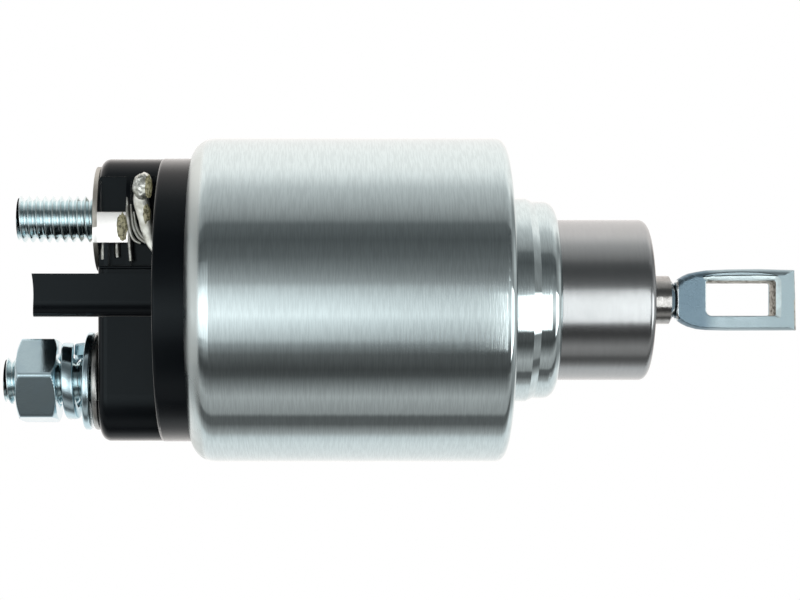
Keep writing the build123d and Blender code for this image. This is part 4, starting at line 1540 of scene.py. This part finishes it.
@dataclass(frozen=True)
class Lump:
    """A lump of solder or flux with an uneven surface."""

    centre: Point
    size: Point
    seed: float
    wander: float
    wander_scale: float = 1.9

    def mesh(self) -> Mesh:
        """Builds the lump.

        Returns:
            Its mesh.
        """
        shape = bmesh.new()
        bmesh.ops.create_icosphere(shape, subdivisions=5, radius=1.0)
        vertices = []
        for vertex in shape.verts:
            way = vertex.co.normalized()
            place = way * self.wander_scale + Vector((self.seed, 0.0, 0.0))
            swell = 1.0 + self.wander * noise.fractal(place, 1.0, 2.0, 4)
            vertices.append(tuple(c + s * w * swell for c, s, w in zip(self.centre, self.size, way)))
        faces = [tuple(v.index for v in face.verts) for face in shape.faces]
        shape.free()
        return Mesh(vertices, faces)


@dataclass
class WindingEnds:
    """The winding's ends outside the cap: wires over the tab, the crossover, solder and flux.

    A wire is rows of x, y, z and radius. The first four strands go round the tab's end, and the last two
    stand in the cap's recess.
    """

    finishes: Finishes
    crossover: tuple[Row, ...] = (
        (-58.2, -10.4, 19.4, 0.7), (-58.8, -10.4, 17.6, 1.25), (-58.95, -10.5, 15.96, 1.34),
        (-58.65, -10.6, 14.4, 1.25), (-58.3, -10.7, 13.0, 1.15), (-57.95, -10.8, 11.15, 1.02),
        (-57.45, -10.9, 9.5, 0.85), (-56.95, -11.0, 8.2, 0.6), (-56.5, -11.0, 7.4, 0.35),
    )
    strands: tuple[tuple[Row, ...], ...] = (
        (
            (-61.41, -9.4, 15.2, 0.16), (-61.25, -9.7, 13.75, 0.3), (-61.0, -9.8, 12.14, 0.32),
            (-60.69, -9.9, 10.7, 0.3), (-60.05, -10.1, 9.57, 0.27), (-59.1, -10.3, 9.1, 0.2),
        ),
        (
            (-60.77, -9.2, 15.4, 0.16), (-60.6, -9.5, 13.75, 0.28), (-60.37, -9.7, 12.14, 0.32),
            (-59.9, -9.9, 10.85, 0.3), (-59.24, -10.2, 9.9, 0.3), (-58.2, -10.6, 9.2, 0.25),
        ),
        (
            (-60.25, -9.4, 14.2, 0.18), (-59.97, -9.6, 12.46, 0.28), (-59.5, -9.9, 11.18, 0.3),
            (-58.85, -10.2, 10.2, 0.3), (-57.9, -10.6, 9.4, 0.25),
        ),
        (
            (-61.45, -8.7, 16.6, 0.08), (-61.35, -8.75, 15.2, 0.26), (-61.15, -8.75, 11.0, 0.3),
            (-60.95, -8.75, 8.0, 0.32), (-60.8, -8.7, 6.3, 0.34),
        ),
        (
            (-65.6, -6.6, 13.0, 0.3), (-65.55, -6.6, 10.0, 0.42), (-65.5, -6.6, 8.0, 0.44),
            (-65.45, -6.6, 6.6, 0.42),
        ),
        ((-63.25, -6.6, 11.0, 0.4), (-63.3, -6.6, 9.0, 0.5), (-63.2, -6.6, 6.9, 0.5)),
    )
    joint: Lump = Lump((-58.7, -10.8, 18.2), (1.7, 1.2, 2.2), 3.0, 0.1)
    residues: tuple[Lump, ...] = (
        Lump((-62.2, -9.3, 11.8), (0.8, 0.26, 2.15), 7.0, 0.22),
        Lump((-57.75, -11.7, 18.1), (0.62, 0.4, 1.75), 11.0, 0.2),
        Lump((-58.1, -11.1, 13.7), (0.62, 0.3, 1.6), 15.0, 0.2),
    )
    crease: float = 70.0

    def build(self) -> None:
        """Builds the crossover, the strands, the solder and the flux."""
        tinned = self.finishes.get(Finish.TINNED_LEAD)
        solder = self.finishes.get(Finish.SOLDER)
        flux = self.finishes.get(Finish.FLUX)
        dull = self.finishes.get(Finish.DULL_LEAD)
        lead = wire(list(self.crossover), 24, flatness=0.5, roughness=0.1)
        lead.to_piece("crossover", tinned, "housing", "tinned_lead", ("crossover_lead",), self.crease)
        strands = Mesh([], [])
        for strand in self.strands:
            strands.add(wire(list(strand), 12, roughness=0.06))
        strands.to_piece("winding_strands", dull, "housing", "tinned_lead", ("pull_in_lead",), self.crease)
        joint = self.joint.mesh()
        joint.to_piece("solder_on_crossover", solder, "housing", "solder", ("solder_joints",), self.crease)
        residue = Mesh([], [])
        for lump in self.residues:
            residue.add(lump.mesh())
        residue.to_piece("flux_residue", flux, "housing", "solder", crease=self.crease)


def main() -> None:
    """Builds the studio and every sub-assembly in order."""
    logging.basicConfig(level=logging.INFO, format="%(message)s")
    finishes = Finishes()
    Studio().build()
    CadFinishes(finishes).build()
    strap_low, _ = node_box("motor_strap")
    upper_z, lower_z = axis_height("terminal_bolt_45"), axis_height("terminal_bolt_30")
    ThreadedStud(finishes, "terminal_bolt_45", upper_z, strap_low.x).build()
    ThreadedStud(finishes, "terminal_bolt_30", lower_z, strap_low.x + MotorStrap.thickness).build()
    StudFasteners(finishes, lower_z).build()
    MotorStrap(finishes, upper_z).build()
    WindingEnds(finishes).build()
    PullEye(finishes).build()


if __name__ == "__main__":
    main()
